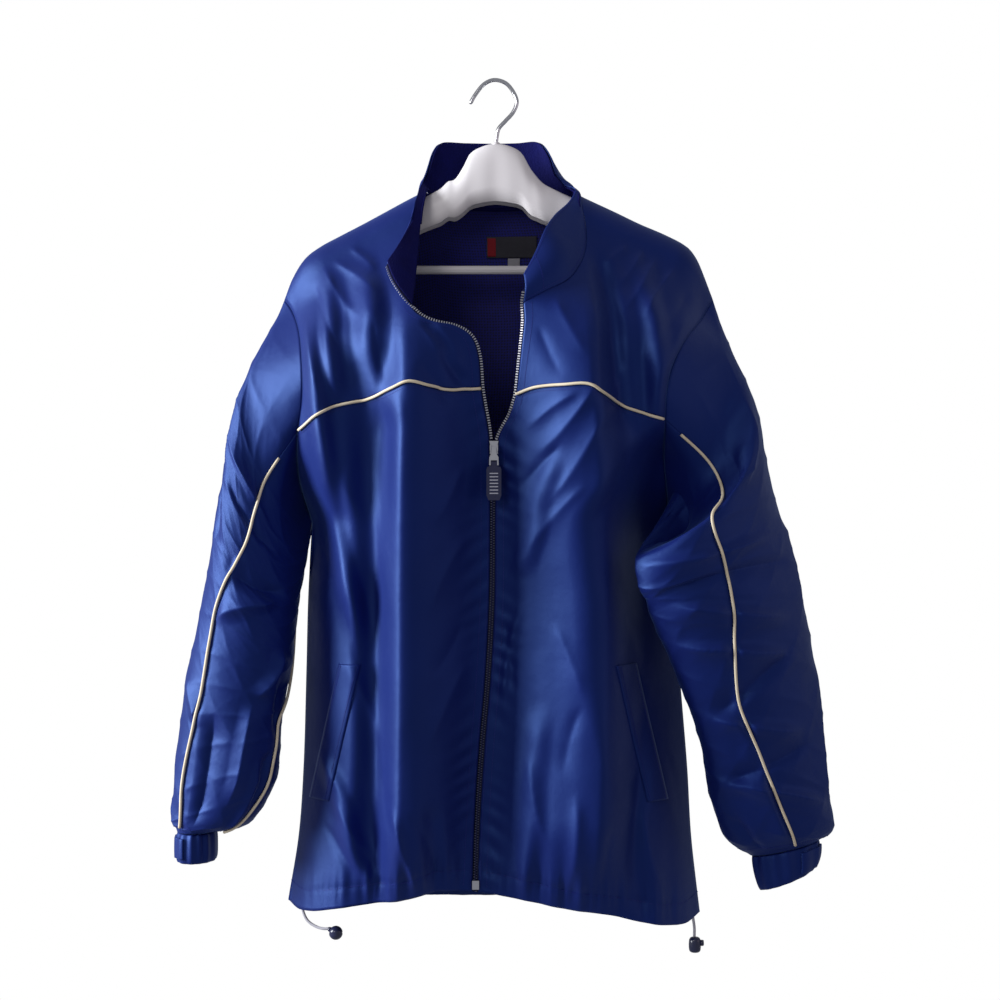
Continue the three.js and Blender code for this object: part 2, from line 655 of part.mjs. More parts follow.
for (const hand of ['right', 'left']) {
  for (const face of ['front', 'back']) {
    const grid = grids[`sleeve_${face}_${hand}`];
    pullBack(grid, 'first column');
    pullBack(grid, 'last column');
    add(`sleeve_${face}_${hand}`, wall(grid, CLOTH), NAVY);
  }
  const yoke = grids[`yoke_${hand}`];
  const lower = grids[`front_${hand}`];
  pullBack(yoke, 'first row');
  pullBack(lower, 'last row');
  add(`yoke_${hand}`, wall(yoke, CLOTH), NAVY);
  add(`front_${hand}`, wall(lower, CLOTH), NAVY);
}
add('back', wall(grids.back, CLOTH), NAVY);


// Collar
// The top edge in three stretches: the right wing falls open, the back stands, the left wing
// stands with its edge rolled out beside the neck.
const COLLAR_TOP = {
  right: table(['x', 'y', 'z'], [-107, -75, -199], [-96, -60, -179], [-86, -42, -155],
    [-78, -20, -122], [-72, 8, -98]),
  back: table(['x', 'y', 'z'], [-72, 8, -98], [-63, 30, -66], [-56, 41, -57], [-30, 49, -56],
    [-3, 52, -56], [26, 49, -56], [49, 41, -56], [58, 29, -67], [66, 8, -95]),
  left: table(['x', 'y', 'z'], [66, 8, -95], [76, -1, -108], [86, -10, -113], [80, -25, -128],
    [63, -50, -147], [53, -66, -163], [43, -78, -188], [31, -88, -212]),
};
const COLLAR_CELLS = 4;
const COLLAR_SWELL = 5;
const COLLAR_GAP = 1.8;

// Directions out of an open net of points, on the side that a given direction shows.
function netNormals(points, outward) {
  const rows = points.length - 1;
  const cols = points[0].length - 1;
  let agreeing = 0;
  const nodes = points.map((row, i) => row.map((p, j) => {
    const across = row[Math.min(j + 1, cols)].clone().sub(row[Math.max(j - 1, 0)]);
    const up = points[Math.min(i + 1, rows)][j].clone().sub(points[Math.max(i - 1, 0)][j]);
    const n = across.cross(up).normalize();
    agreeing += Math.sign(n.dot(outward(p)));
    return { p: p.clone(), n };
  }));
  if (agreeing < 0) nodes.flat().forEach((node) => node.n.negate());
  return nodes;
}

const moved = (grid, distance) => grid.map((row) => row.map((node) => ({
  p: node.p.clone().addScaledVector(node.n, distance), n: node.n.clone(),
})));

function collar() {
  const yokeNeck = (hand) => grids[`yoke_${hand}`].slice(CELLS.opening).map((row) => row[0].p);
  const backTop = grids.back[grids.back.length - 1];
  const backNeck = backTop.slice(CELLS.backShoulder, CELLS.backShoulder + CELLS.backNeck + 1);
  const seam = joined(yokeNeck('right'), backNeck.map((node) => node.p),
    yokeNeck('left').reverse());
  const top = joined(sample(COLLAR_TOP.right, CELLS.neck), sample(COLLAR_TOP.back, CELLS.backNeck),
    sample(COLLAR_TOP.left, CELLS.neck));
  const points = [];
  for (let i = 0; i <= COLLAR_CELLS; i += 1) {
    const t = i / COLLAR_CELLS;
    points.push(seam.map((foot, j) => {
      const rise = top[j].clone().sub(foot);
      const p = foot.clone().addScaledVector(rise, mix(COLLAR_GAP / rise.length(), 1, t));
      const away = new THREE.Vector3(p.x, p.y, 0).normalize();
      return p.addScaledVector(away, COLLAR_SWELL * Math.sin(t * Math.PI));
    }));
  }
  return netNormals(points, (p) => new THREE.Vector3(p.x, p.y, 0));
}
grids.collar = collar();
add('collar', wall(grids.collar, CLOTH), NAVY);
add('collar_lining', wall(moved(grids.collar, -CLOTH - 5 * SEAM_GAP), LINING), INSIDE);

// The mesh lining shows inside the neck, down the back.
const LINING_ROWS = 7;
const liningPart = grids.back.slice(-LINING_ROWS).map((row) => row.slice(
  CELLS.backShoulder + 1, CELLS.backShoulder + CELLS.backNeck));
add('back_lining', wall(moved(liningPart, -CLOTH - SEAM_GAP), LINING), INSIDE);

// The place on one row of a panel's net at a given x.
function onRow(row, x) {
  let j = 0;
  const rising = row[row.length - 1].p.x > row[0].p.x;
  while (j < row.length - 2 && (rising ? row[j + 1].p.x < x : row[j + 1].p.x > x)) j += 1;
  const t = (x - row[j].p.x) / (row[j + 1].p.x - row[j].p.x);
  return {
    p: row[j].p.clone().lerp(row[j + 1].p, t),
    n: row[j].n.clone().lerp(row[j + 1].n, t).normalize(),
  };
}

// The place on a panel's net at a given x and z.
function onPanel(rows, x, z) {
  const line = rows.map((row) => onRow(row, x));
  let i = 0;
  while (i < line.length - 2 && line[i + 1].p.z < z) i += 1;
  const t = (z - line[i].p.z) / (line[i + 1].p.z - line[i].p.z);
  return {
    p: line[i].p.clone().lerp(line[i + 1].p, t),
    n: line[i].n.clone().lerp(line[i + 1].n, t).normalize(),
  };
}

// A flat patch inside the back, over the lining.
function insidePatch(fromX, toX, topZ, bottomZ, thickness) {
  const inset = CLOTH + LINING + 3 * SEAM_GAP;
  const grid = [];
  for (let i = 0; i <= 2; i += 1) {
    const row = [];
    for (let j = 0; j <= 4; j += 1) {
      row.push(onPanel(grids.back, mix(fromX, toX, j / 4), mix(bottomZ, topZ, i / 2)));
    }
    grid.push(row);
  }
  return wall(moved(grid, -inset), thickness);
}
const LABEL = { from: -7, to: 47, top: -157, bottom: -179, wall: 0.8 };
const SIZE_TAB = { from: 16, to: 29, top: -179.5, bottom: -192, wall: 0.8 };
add('neck_label', insidePatch(LABEL.from, LABEL.to, LABEL.top, LABEL.bottom, LABEL.wall),
  { color: 0xa9a6ad, roughness: 0.7, metalness: 0 });
add('size_tab', insidePatch(SIZE_TAB.from, SIZE_TAB.to, SIZE_TAB.top, SIZE_TAB.bottom,
  SIZE_TAB.wall), { color: 0xd9d6d8, roughness: 0.7, metalness: 0 });

// Zip
// One tape runs up behind each front edge and round the opened part to the collar.
function zipTape(hand) {
  const edges = [
    ...grids[`front_${hand}`].slice(0, -1).map((row) => [row[0], row[1]]),
    ...grids[`yoke_${hand}`].slice(0, CELLS.opening).map((row) => [row[0], row[1]]),
  ];
  const inset = CLOTH + 2 * SEAM_GAP;
  return edges.map(([edge, next], i) => {
    const inward = next.p.clone().sub(edge.p).normalize();
    const under = i < CELLS.zip ? TAPE_UNDER : TAPE_UNDER_OPEN;
    return [-TAPE_REACH, 0, under].map((reach) => ({
      p: edge.p.clone().addScaledVector(inward, reach).addScaledVector(edge.n, -inset),
      n: edge.n.clone(),
    }));
  });
}
for (const hand of ['right', 'left']) {
  grids[`tape_${hand}`] = zipTape(hand);
  add(`zip_tape_${hand}`, wall(grids[`tape_${hand}`], TAPE_WALL), BLACK_BLUE);
}

// The closed teeth, from the hem to the slider.
const CHAIN = { width: 4.4, thickness: 1.1, inset: 0.65, topZ: -394 };
function zipChain() {
  const sections = [];
  grids.front_right.forEach((row, i) => {
    const a = row[0];
    const b = grids.front_left[i][0];
    const centre = a.p.clone().lerp(b.p, 0.5);
    if (centre.z > CHAIN.topZ) return;
    const across = b.p.clone().sub(a.p).setY(0).normalize().multiplyScalar(CHAIN.width / 2);
    const corner = (side, deep) => {
      const y = (side < 0 ? a.p.y : b.p.y) + CHAIN.inset + deep * CHAIN.thickness / 2;
      return new THREE.Vector3(centre.x + side * across.x, y, centre.z);
    };
    sections.push([corner(-1, -1), corner(1, -1), corner(1, 1), corner(-1, 1)]);
  });
  return loft(sections);
}
add('zip_chain', zipChain(), STEEL);

// A flat plate in the plane of the front, from its outline as x and z about a place.
function plate(outline, thickness, x, y, z) {
  const shape = new THREE.Shape(outline.map(([px, pz]) => new THREE.Vector2(px, pz)));
  const geometry = new THREE.ExtrudeGeometry(shape, { depth: thickness, bevelEnabled: false });
  geometry.translate(0, 0, -thickness / 2);
  geometry.rotateX(Math.PI / 2);
  geometry.translate(x, y, z);
  return geometry;
}

const SLIDER = { x: 1.2, z: -386, standOff: 2.7, thickness: 3.6 };
SLIDER.y = -standOff(FRONT, SLIDER.x, SLIDER.z) - SLIDER.standOff;
const PULLER = { y: SLIDER.y - 4.6, z: SLIDER.z - 1, thickness: 1.6 };
const TAB = { z: PULLER.z - 15.2, length: 37, width: 15, thickness: 3 };

// The slider has two cheeks in front that carry the puller between them.
const cheek = (side) => [[side * 2.9, -3.4], [side * 4.1, -3.4], [side * 4.1, 2.6], [side * 2.9, 2.6]];
function sliderBody() {
  const body = [[-4.6, 6.6], [-3.4, 0.8], [-4.2, -6.4], [4.2, -6.4], [3.4, 0.8], [4.6, 6.6]];
  return plate(body, SLIDER.thickness, SLIDER.x, SLIDER.y, SLIDER.z);
}
add('zip_slider', sliderBody(), STEEL);
const cheekDepth = 4.4;
for (const [name, side] of [['slider_cheek_right', -1], ['slider_cheek_left', 1]]) {
  const outline = side < 0 ? cheek(side).reverse() : cheek(side);
  const y = SLIDER.y - SLIDER.thickness / 2 - cheekDepth / 2 - 0.02;
  add(name, plate(outline, cheekDepth, SLIDER.x, y, SLIDER.z), STEEL);
}
// The puller narrows at its top, and its lower end is a fork for the tab's tongue.
const pullerOutline = [[-2.4, 1.6], [2.4, 1.6], [2.4, -4.4], [4.6, -9], [4.8, -17], [3.2, -17],
  [3.2, -12], [-3.2, -12], [-3.2, -17], [-4.8, -17], [-4.6, -9], [-2.4, -4.4]];
add('zip_puller', plate(pullerOutline, PULLER.thickness, SLIDER.x, PULLER.y, PULLER.z), STEEL);
const tabOutline = [[-2.8, 2], [2.8, 2], [2.8, -2.6], [6.6, -3.4], [TAB.width / 2, -6],
  [TAB.width / 2, -32], [5.4, -TAB.length], [-5.4, -TAB.length], [-TAB.width / 2, -32],
  [-TAB.width / 2, -6], [-6.6, -3.4], [-2.8, -2.6]];
add('pull_tab', plate(tabOutline, TAB.thickness, SLIDER.x, PULLER.y, TAB.z), BLACK_BLUE);

// Piping
const onTop = (line, lift) => line.map((node) => node.p.clone().addScaledVector(node.n, lift));
const PIPING_LIFT = PIPING_RADIUS + 0.8;
// The front cord leaves the armhole partway to the next row, lifted over the fold beside it.
const CORD_START = {
  right: { share: 0.55, rows: 1, lift: 1.6 },
  left: { share: 0.3, rows: 5, lift: 1.1 },
};
function nearArmhole(first, next, share) {
  const p = first.p.clone().lerp(next.p, share);
  return { p, n: first.n.clone().lerp(next.n, share).normalize() };
}
for (const hand of ['right', 'left']) {
  const yokeLine = grids[`yoke_${hand}`][0].slice(0, -1);
  add(`piping_yoke_${hand}`, rod(onTop(yokeLine, PIPING_LIFT), PIPING_RADIUS, 5), CREAM);
  for (const seam of ['a', 'b']) {
    const nodes = grids[`sleeve_seam_${seam}_${hand}`];
    const line = nodes.slice(1, -1);
    const start = CORD_START[hand];
    if (seam === 'a') line.unshift(nearArmhole(nodes[0], nodes[1], start.share));
    const folded = seam === 'a' ? start.rows : 0;
    const points = [...onTop(line.slice(0, folded), PIPING_LIFT + start.lift),
      ...onTop(line.slice(folded), PIPING_LIFT)];
    add(`piping_sleeve_${seam}_${hand}`, rod(points, PIPING_RADIUS, 5), CREAM);
  }
}

// Pocket welts: each lies on a front panel along its rows.
const WELT = table(['hand', 'topX', 'topZ', 'bottomX', 'bottomZ', 'lift'],
  [1, 124, -606, 158, -748, 0.8], [-1, -134, -606, -168, -748, 1.5]);
const WELT_WIDTH = 23;
const WELT_WALL = 1.6;

function pocketWelt(welt) {
  const rows = grids[welt.hand < 0 ? 'front_right' : 'front_left'];
  const grid = [];
  for (const row of rows) {
    const z = onRow(row, welt.topX).p.z;
    if (z > welt.topZ || z < welt.bottomZ) continue;
    const t = (welt.topZ - z) / (welt.topZ - welt.bottomZ);
    const from = mix(welt.topX, welt.bottomX, t);
    const line = [];
    for (let j = 0; j <= 6; j += 1) line.push(onRow(row, from + welt.hand * WELT_WIDTH * j / 6));
    grid.push(line);
  }
  return moved(grid, WELT_WALL + welt.lift);
}
for (const welt of WELT) {
  const hand = welt.hand < 0 ? 'right' : 'left';
  add(`pocket_welt_${hand}`, wall(pocketWelt(welt), WELT_WALL), NAVY);
}

// Cuffs
const CUFF_COLUMNS = 20;
const CUFFS = {
  right: table(SLEEVE_COLUMNS,
    [-327, -20, -781.9, -287.5, -24, -781.9, 29, 29, 0, 0],
    [-327.5, -20, -797, -287, -24, -797, 30, 30, 0, 0],
    [-327.5, -20, -812, -287, -24, -812, 30, 30, 0, 0]),
  left: table(SLEEVE_COLUMNS,
    [338.5, -22, -791, 267, -30, -807, 20.5, 20.5, 0, 0],
    [338, -22, -806, 270, -30, -825, 21, 21, 0, 0],
    [334, -22, -820, 275, -30, -842, 21, 21, 0, 0]),
};
for (const hand of ['right', 'left']) {
  const rings = CUFFS[hand].map((row) => {
    const ring = [];
    for (let k = 0; k < CUFF_COLUMNS; k += 1) ring.push(sectionPoint(row, (k * 2) / CUFF_COLUMNS));
    return ring;
  });
  grids[`cuff_${hand}`] = tubeNormals(rings);
  add(`cuff_${hand}`, wall(grids[`cuff_${hand}`], 2 * CLOTH, true), NAVY);
  const strap = grids[`cuff_${hand}`].map((ring) => ring.slice(0, 5));
  add(`cuff_strap_${hand}`, wall(moved(strap, 1.6 + SEAM_GAP), 1.6), NAVY);
}

// Drawcords and their toggles
const CORD_RIGHT = table(['x', 'y', 'z'], [-199, -13.7, -838], [-199, -14.3, -853], [-198, -14.6, -867],
  [-193, -16, -877], [-184, -19, -882.5], [-176, -22, -884], [-169.6, -23, -883.6]);
const CORD_LEFT = table(['x', 'y', 'z'], [208, -4.4, -846], [208, -4.4, -860], [209.4, -4.4, -875],
  [211, -4, -887], [211, -4, -896.4]);
const CORD_FINISH = { color: 0xb9b6c4, roughness: 0.7, metalness: 0 };
add('drawcord_right', rod(sample(CORD_RIGHT, 14), CORD_DIAMETER / 2, 6), CORD_FINISH);
add('drawcord_left', rod(sample(CORD_LEFT, 10), CORD_DIAMETER / 2, 6), CORD_FINISH);

// A turned solid about an upright axis, from its radii and heights.
function turned(profile, segments, x, y, z) {
  const points = profile.map(([radius, height]) => new THREE.Vector2(radius, height));
  const geometry = new THREE.LatheGeometry(points, segments);
  geometry.rotateX(Math.PI / 2);
  geometry.translate(x, y, z);
  return geometry;
}
const BALL = { radius: 7.2, x: -163, y: -23.4, z: -888 };
const ballProfile = [];
for (let i = 0; i <= 8; i += 1) {
  const angle = mix(-Math.PI / 2, Math.PI / 2, i / 8);
  const onAxis = i === 0 || i === 8;
  ballProfile.push([onAxis ? 0 : BALL.radius * Math.cos(angle), BALL.radius * Math.sin(angle)]);
}
add('toggle_right', turned(ballProfile, 12, BALL.x, BALL.y, BALL.z), BLACK_BLUE);
add('toggle_left', turned([[0, -16], [4, -16], [6, -14], [6.4, -8], [6, -2], [4, 0], [0, 0]], 12,
  211.5, -4, -896.8), BLACK_BLUE);

// Hanger
const HOOK_LINE = table(['x', 'z'], [-24, -23], [-19, -14], [-9, -2], [1, 2.1], [13, -1], [21, -10],
  [25, -21], [21, -32], [13, -41], [6, -49], [4, -57], [3, -64.5]);
add('hanger_hook', rod(sample(HOOK_LINE, 30), HOOK_WIRE / 2, 8), STEEL);

const HANGER = table(['x', 'top', 'half', 'height'],
  [-198, -192, 7, 12], [-186, -183, 11, 21], [-160, -167, 13.6, 31],
  [-112, -141, 14, 34], [-70, -118, 12.6, 35], [-48, -104.5, 14, 39],
  [-40, -102.5, 14.5, 42], [-31, -89, 14, 50], [-24, -75.5, 13.5, 57], [-10, -67.5, 13.5, 61],
  [3, -65, 13, 62], [17, -67.5, 13.5, 61], [30, -75, 13.5, 57], [40, -92, 14, 50],
  [50, -103, 14.5, 42], [72, -114.5, 12.6, 36], [115, -135, 14, 34], [160, -156, 13.6, 31],
  [192, -173, 11, 21], [205, -184, 7, 12]);
const hangerTop = reading(HANGER, 'x', 'top');
const hangerHalf = reading(HANGER, 'x', 'half');
const hangerHeight = reading(HANGER, 'x', 'height');
const NECK_HALF = 50; // the arms are bare nearer the hub than this
const HANGER_DROP = 4.6; // the arms' crown below the inside of the shoulder line
const HANGER_PROFILE = 6;

// The body is a channel open below, its section square-shouldered and rounded over the top.
function hangerBody() {
  const points = [];
  for (let i = 0; i <= (HANGER.length - 1) * 2; i += 1) {
    const before = HANGER[Math.floor(i / 2)];
    const after = HANGER[Math.ceil(i / 2)];
    const x = (before.x + after.x) / 2;
    const underCloth = Math.min(hangerTop(x), ridgeZ(x) - CLOTH - HANGER_DROP);
    const top = Math.abs(x) > NECK_HALF ? underCloth : hangerTop(x);
    const row = [];
    for (let k = 0; k <= HANGER_PROFILE; k += 1) {
      const angle = (k / HANGER_PROFILE) * Math.PI;
      const across = -Math.cos(angle);
      const y = hangerHalf(x) * Math.sign(across) * Math.abs(across) ** 0.8;
      const rise = Math.sin(angle) ** 0.55;
      row.push(new THREE.Vector3(x, y, top - hangerHeight(x) * (1 - rise)));
    }
    points.push(row);
  }
  return netNormals(points, (p) => new THREE.Vector3(0, p.y, 20));
}
add('hanger_body', wall(hangerBody(), HANGER_WALL), WHITE_PLASTIC);

// The bar swells at its ends to reach both walls of the arms.
const BAR = table(['x', 'half'], [-176, 8.9], [-170, 8.9], [-163, 4.4], [-159, 3.8], [163, 3.8],
  [167, 4.4], [174, 8.9], [180, 8.9]);
const BAR_Z = -197.5;
const bar = BAR.map((stop) => {
  const ring = [];
  for (let k = 0; k < 10; k += 1) {
    const turn = (k / 10) * Math.PI * 2;
    const up = (BAR_DIAMETER / 2) * Math.sin(turn);
    ring.push(new THREE.Vector3(stop.x, stop.half * Math.cos(turn), BAR_Z + up));
  }
  return ring;
});
add('hanger_bar', loft(bar), WHITE_PLASTIC);

export default garment;
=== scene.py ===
# A light nylon windbreaker on a contoured hanger. Sizes are in millimetres until a mesh is made.
# Left and right are the wearer's, so the wearer's left is +X.
import math

import bpy
import numpy as np
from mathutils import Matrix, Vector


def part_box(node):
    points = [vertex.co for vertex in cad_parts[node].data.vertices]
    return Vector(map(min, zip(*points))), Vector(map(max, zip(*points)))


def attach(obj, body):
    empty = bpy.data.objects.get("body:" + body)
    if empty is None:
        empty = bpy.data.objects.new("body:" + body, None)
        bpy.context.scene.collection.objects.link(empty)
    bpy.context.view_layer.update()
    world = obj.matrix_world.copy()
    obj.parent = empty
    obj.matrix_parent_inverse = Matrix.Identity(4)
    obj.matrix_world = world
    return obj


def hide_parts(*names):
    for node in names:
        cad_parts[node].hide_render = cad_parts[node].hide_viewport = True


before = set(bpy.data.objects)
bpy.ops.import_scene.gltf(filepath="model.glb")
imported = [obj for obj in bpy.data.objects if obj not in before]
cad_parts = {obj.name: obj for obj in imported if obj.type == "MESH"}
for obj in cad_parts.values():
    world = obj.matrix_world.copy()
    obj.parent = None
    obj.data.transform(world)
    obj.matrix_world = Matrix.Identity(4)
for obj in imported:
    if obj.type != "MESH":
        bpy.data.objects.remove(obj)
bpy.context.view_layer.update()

MM = 0.001
FRONT = -1
BACK = 1
CLOTH = 1.2
LINING = 0.8
SEAM_GAP = 0.3
ARM_DEPTH = 24
SHOULDER_SPREAD = 150
LENS_POWER = 1.8
PIPING_RADIUS = 1.5
CORD_DIAMETER = 3
HOOK_WIRE = 4.2
HANGER_WALL = 2.4
TEETH_PITCH = 2.6
STITCH_PITCH = 3.4
STITCH_SIZE = (2.4, 0.5, 0.4)
CAMERA_PLACE = (0.00735, -2.0, -0.4389)
CAMERA_LENS = 68.57
CAMERA_SENSOR = 36
PICTURE_SIDE = 1000

pieces = {}
grids = {}


def table(columns, *rows):
    """Rows of numbers as named columns."""
    values = np.array(rows, float)
    return {name: values[:, i] for i, name in enumerate(columns.split())}


# Camera
def set_camera():
    """A level view from two metres in front of the hanger's plane."""
    camera = bpy.data.cameras.new("camera")
    camera.sensor_width = CAMERA_SENSOR
    camera.lens = CAMERA_LENS
    camera.clip_end = 20
    place = bpy.data.objects.new("camera", camera)
    place.location = CAMERA_PLACE
    place.rotation_euler = (math.pi / 2, 0, 0)
    bpy.context.collection.objects.link(place)
    scene = bpy.context.scene
    scene.camera = place
    scene.render.resolution_x = PICTURE_SIDE
    scene.render.resolution_y = PICTURE_SIDE


set_camera()


# Meshes
def make(name, points, faces, body="garment", smooth=True):
    """A mesh object from points in millimetres."""
    mesh = bpy.data.meshes.new(name)
    mesh.from_pydata((np.asarray(points, float) * MM).tolist(), [], faces)
    mesh.update()
    if smooth:
        mesh.shade_smooth()
    obj = bpy.data.objects.new(name, mesh)
    bpy.context.collection.objects.link(obj)
    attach(obj, body)
    return obj


def unit(vectors):
    return vectors / np.maximum(np.linalg.norm(vectors, axis=-1, keepdims=True), 1e-9)


def mix(a, b, t):
    return a + (b - a) * t


def ease(t):
    t = np.clip(t, 0, 1)
    return t * t * (3 - 2 * t)


def reading(rows, key, column):
    """A smooth function through one column, read against another."""
    order = np.argsort(rows[key])
    keys = rows[key][order]
    values = rows[column][order]
    last = len(keys) - 1
    low = np.maximum(np.arange(last + 1) - 1, 0)
    high = np.minimum(np.arange(last + 1) + 1, last)
    slope = (values[high] - values[low]) / (keys[high] - keys[low])

    def read(at):
        at = np.asarray(at, float)
        i = np.clip(np.searchsorted(keys, at) - 1, 0, last - 1)
        span = keys[i + 1] - keys[i]
        t = (at - keys[i]) / span
        rise = values[i + 1] - values[i]
        a = slope[i] * span - rise
        b = rise - slope[i + 1] * span
        inside = values[i] + rise * t + t * (1 - t) * (a * (1 - t) + b * t)
        below = values[0] + (at - keys[0]) * slope[0]
        above = values[-1] + (at - keys[-1]) * slope[-1]
        return np.where(at <= keys[0], below, np.where(at >= keys[-1], above, inside))

    return read


def spline(points, per_span=24):
    """A dense centripetal curve through points, with the length along it."""
    points = np.asarray(points, float)
    ends = np.vstack([2 * points[0] - points[1], points, 2 * points[-1] - points[-2]])
    dense = []
    for i in range(1, len(ends) - 2):
        p0, p1, p2, p3 = ends[i - 1 : i + 3]
        d0, d1, d2 = (max(np.linalg.norm(b - a) ** 0.5, 1e-4)
                      for a, b in ((p0, p1), (p1, p2), (p2, p3)))
        t1 = ((p1 - p0) / d0 - (p2 - p0) / (d0 + d1) + (p2 - p1) / d1) * d1
        t2 = ((p2 - p1) / d1 - (p3 - p1) / (d1 + d2) + (p3 - p2) / d2) * d1
        s = np.arange(per_span)[:, None] / per_span
        cubic = 2 * p1 - 2 * p2 + t1 + t2
        square = -3 * p1 + 3 * p2 - 2 * t1 - t2
        dense.append(p1 + t1 * s + square * s**2 + cubic * s**3)
    dense = np.vstack(dense + [points[-1:]])
    steps = np.linalg.norm(np.diff(dense, axis=0), axis=1)
    return dense, np.concatenate([[0], np.cumsum(steps)])


def along(points, fractions):
    """Places on the curve through points, at fractions of its length."""
    dense, length = spline(points)
    at = np.asarray(fractions, float) * length[-1]
    return np.stack([np.interp(at, length, dense[:, i]) for i in range(dense.shape[1])], axis=-1)


def columns(rows, *names):
    return np.stack([rows[name] for name in names], axis=-1)


def chained(*stretches):
    """A function of a cell index over stretches, each with its points and number of cells."""
    starts = np.cumsum([0] + [cells for _, cells in stretches])

    def at(index):
        index = np.asarray(index, float)
        out = np.zeros(index.shape + (stretches[0][0].shape[1],))
        for s, (points, cells) in enumerate(stretches):
            here = (index >= starts[s]) & (index <= starts[s + 1])
            out[here] = along(points, (index[here] - starts[s]) / cells)
        return out

    return at


def grid_normals(points, outward, wrapped=False):
    """Unit normals of a grid of points, on the side that a direction shows."""
    if wrapped:
        across = np.roll(points, -1, axis=1) - np.roll(points, 1, axis=1)
    else:
        across = np.gradient(points, axis=1)
    down = np.gradient(points, axis=0)
    normals = unit(np.cross(across, down))
    if np.sum(np.sign(np.sum(normals * outward, axis=-1))) < 0:
        normals = -normals
    return normals


def grid_faces(rows, cols, wrapped=False):
    """Faces of a shell of two layers, closed round its edges."""
    layer = rows * cols
    faces = []
    spans = cols if wrapped else cols - 1
    for i in range(rows - 1):
        for j in range(spans):
            a = i * cols + j
            b = i * cols + (j + 1) % cols
            faces.append((a, b, b + cols, a + cols))
            faces.append((a + layer, a + cols + layer, b + cols + layer, b + layer))
    for j in range(spans):
        k = (j + 1) % cols
        end = (rows - 1) * cols
        faces.append((j + layer, k + layer, k, j))
        faces.append((end + k + layer, end + j + layer, end + j, end + k))
    if not wrapped:
        for i in range(rows - 1):
            a = i * cols
            b = a + cols - 1
            faces.append((a, a + cols, a + cols + layer, a + layer))
            faces.append((b + cols, b, b + layer, b + cols + layer))
    return faces


def shell(name, outer, normals, thickness, wrapped=False, body="garment"):
    """A thin wall: its outer face is the grid, its inner face lies one thickness in."""
    rows, cols = outer.shape[:2]
    inner = outer - normals * thickness
    points = np.concatenate([outer.reshape(-1, 3), inner.reshape(-1, 3)])
    faces = grid_faces(rows, cols, wrapped)
    a, b, c = (points[i] for i in faces[0][:3])
    turned = np.dot(np.cross(b - a, c - a), normals.reshape(-1, 3)[faces[0][0]]) < 0
    if turned:
        faces = [face[::-1] for face in faces]
    obj = make(name, points, faces, body)
    add_uv(obj, outer, rows * cols)
    return obj


def add_uv(obj, outer, layer):
    """A map in metres along the cloth's rows and columns, for its weave."""
    across = np.linalg.norm(np.diff(outer, axis=1), axis=-1)
    u = np.concatenate([np.zeros((outer.shape[0], 1)), np.cumsum(across, axis=1)], axis=1)
    down = np.linalg.norm(np.diff(outer, axis=0), axis=-1)
    v = np.concatenate([np.zeros((1, outer.shape[1])), np.cumsum(down, axis=0)], axis=0)
    coords = np.stack([u, v], axis=-1).reshape(-1, 2) * MM
    corners = np.zeros(len(obj.data.loops), int)
    obj.data.loops.foreach_get("vertex_index", corners)
    uv = obj.data.uv_layers.new(name="cloth")
    uv.data.foreach_set("uv", coords[corners % layer].ravel())


def tube(name, points, radius, sides=10, body="garment", ends=True):
    """A round tube along points, with a parallel-carried section."""
    points = np.asarray(points, float)
    radii = np.broadcast_to(np.asarray(radius, float), (len(points),))
    ways = unit(np.gradient(points, axis=0))
    side = np.array([0.0, 1.0, 0.0]) if abs(ways[0][1]) < 0.9 else np.array([1.0, 0.0, 0.0])
    turns = np.arange(sides) / sides * 2 * math.pi
    rings = []
    for point, way, r in zip(points, ways, radii):
        side = unit(side - way * np.dot(side, way))
        up = np.cross(way, side)
        rings.append(point + r * (np.outer(np.cos(turns), side) + np.outer(np.sin(turns), up)))
    faces = []
    for i in range(len(points) - 1):
        for j in range(sides):
            a = i * sides + j
            b = i * sides + (j + 1) % sides
            faces.append((a, b, b + sides, a + sides))
    if ends:
        faces.append(tuple(range(sides))[::-1])
        faces.append(tuple((len(points) - 1) * sides + j for j in range(sides)))
    return make(name, np.vstack(rings), faces, body)


# Drawcords and their toggles
CORD_RIGHT = table("x y z", [-199, -13.7, -838], [-199, -14.3, -853], [-198, -14.6, -867],
                   [-193, -16, -877], [-184, -19, -882.5], [-176, -22, -884], [-169.6, -23, -883.6])
CORD_LEFT = table("x y z", [208, -4.4, -846], [208, -4.4, -860], [209.4, -4.4, -875],
                  [211, -4, -887], [211, -4, -896.4])
BALL_RADIUS = 7.2
BALL_PLACE = (-163, -23.4, -888)
BALL_EYE = [[-170.6, -23, -884], [-168.5, -23.1, -884.8]]
GROOVE_DEPTH = 0.45
GROOVE_WIDTH = 0.12
BARREL_PROFILE = [[0, -16], [2.6, -16], [4.2, -15.7], [5.3, -14.9], [6, -13.6], [6.3, -11], [6.4, -8],
                  [6.2, -5], [5.9, -2.6], [5.1, -1.1], [4, -0.3], [2, 0], [0, 0]]
BARREL_PLACE = (211.5, -4, -896.8)
BARREL_BUTTON = [[217, -4, -903], [220, -4, -903], [220.8, -4, -903]]


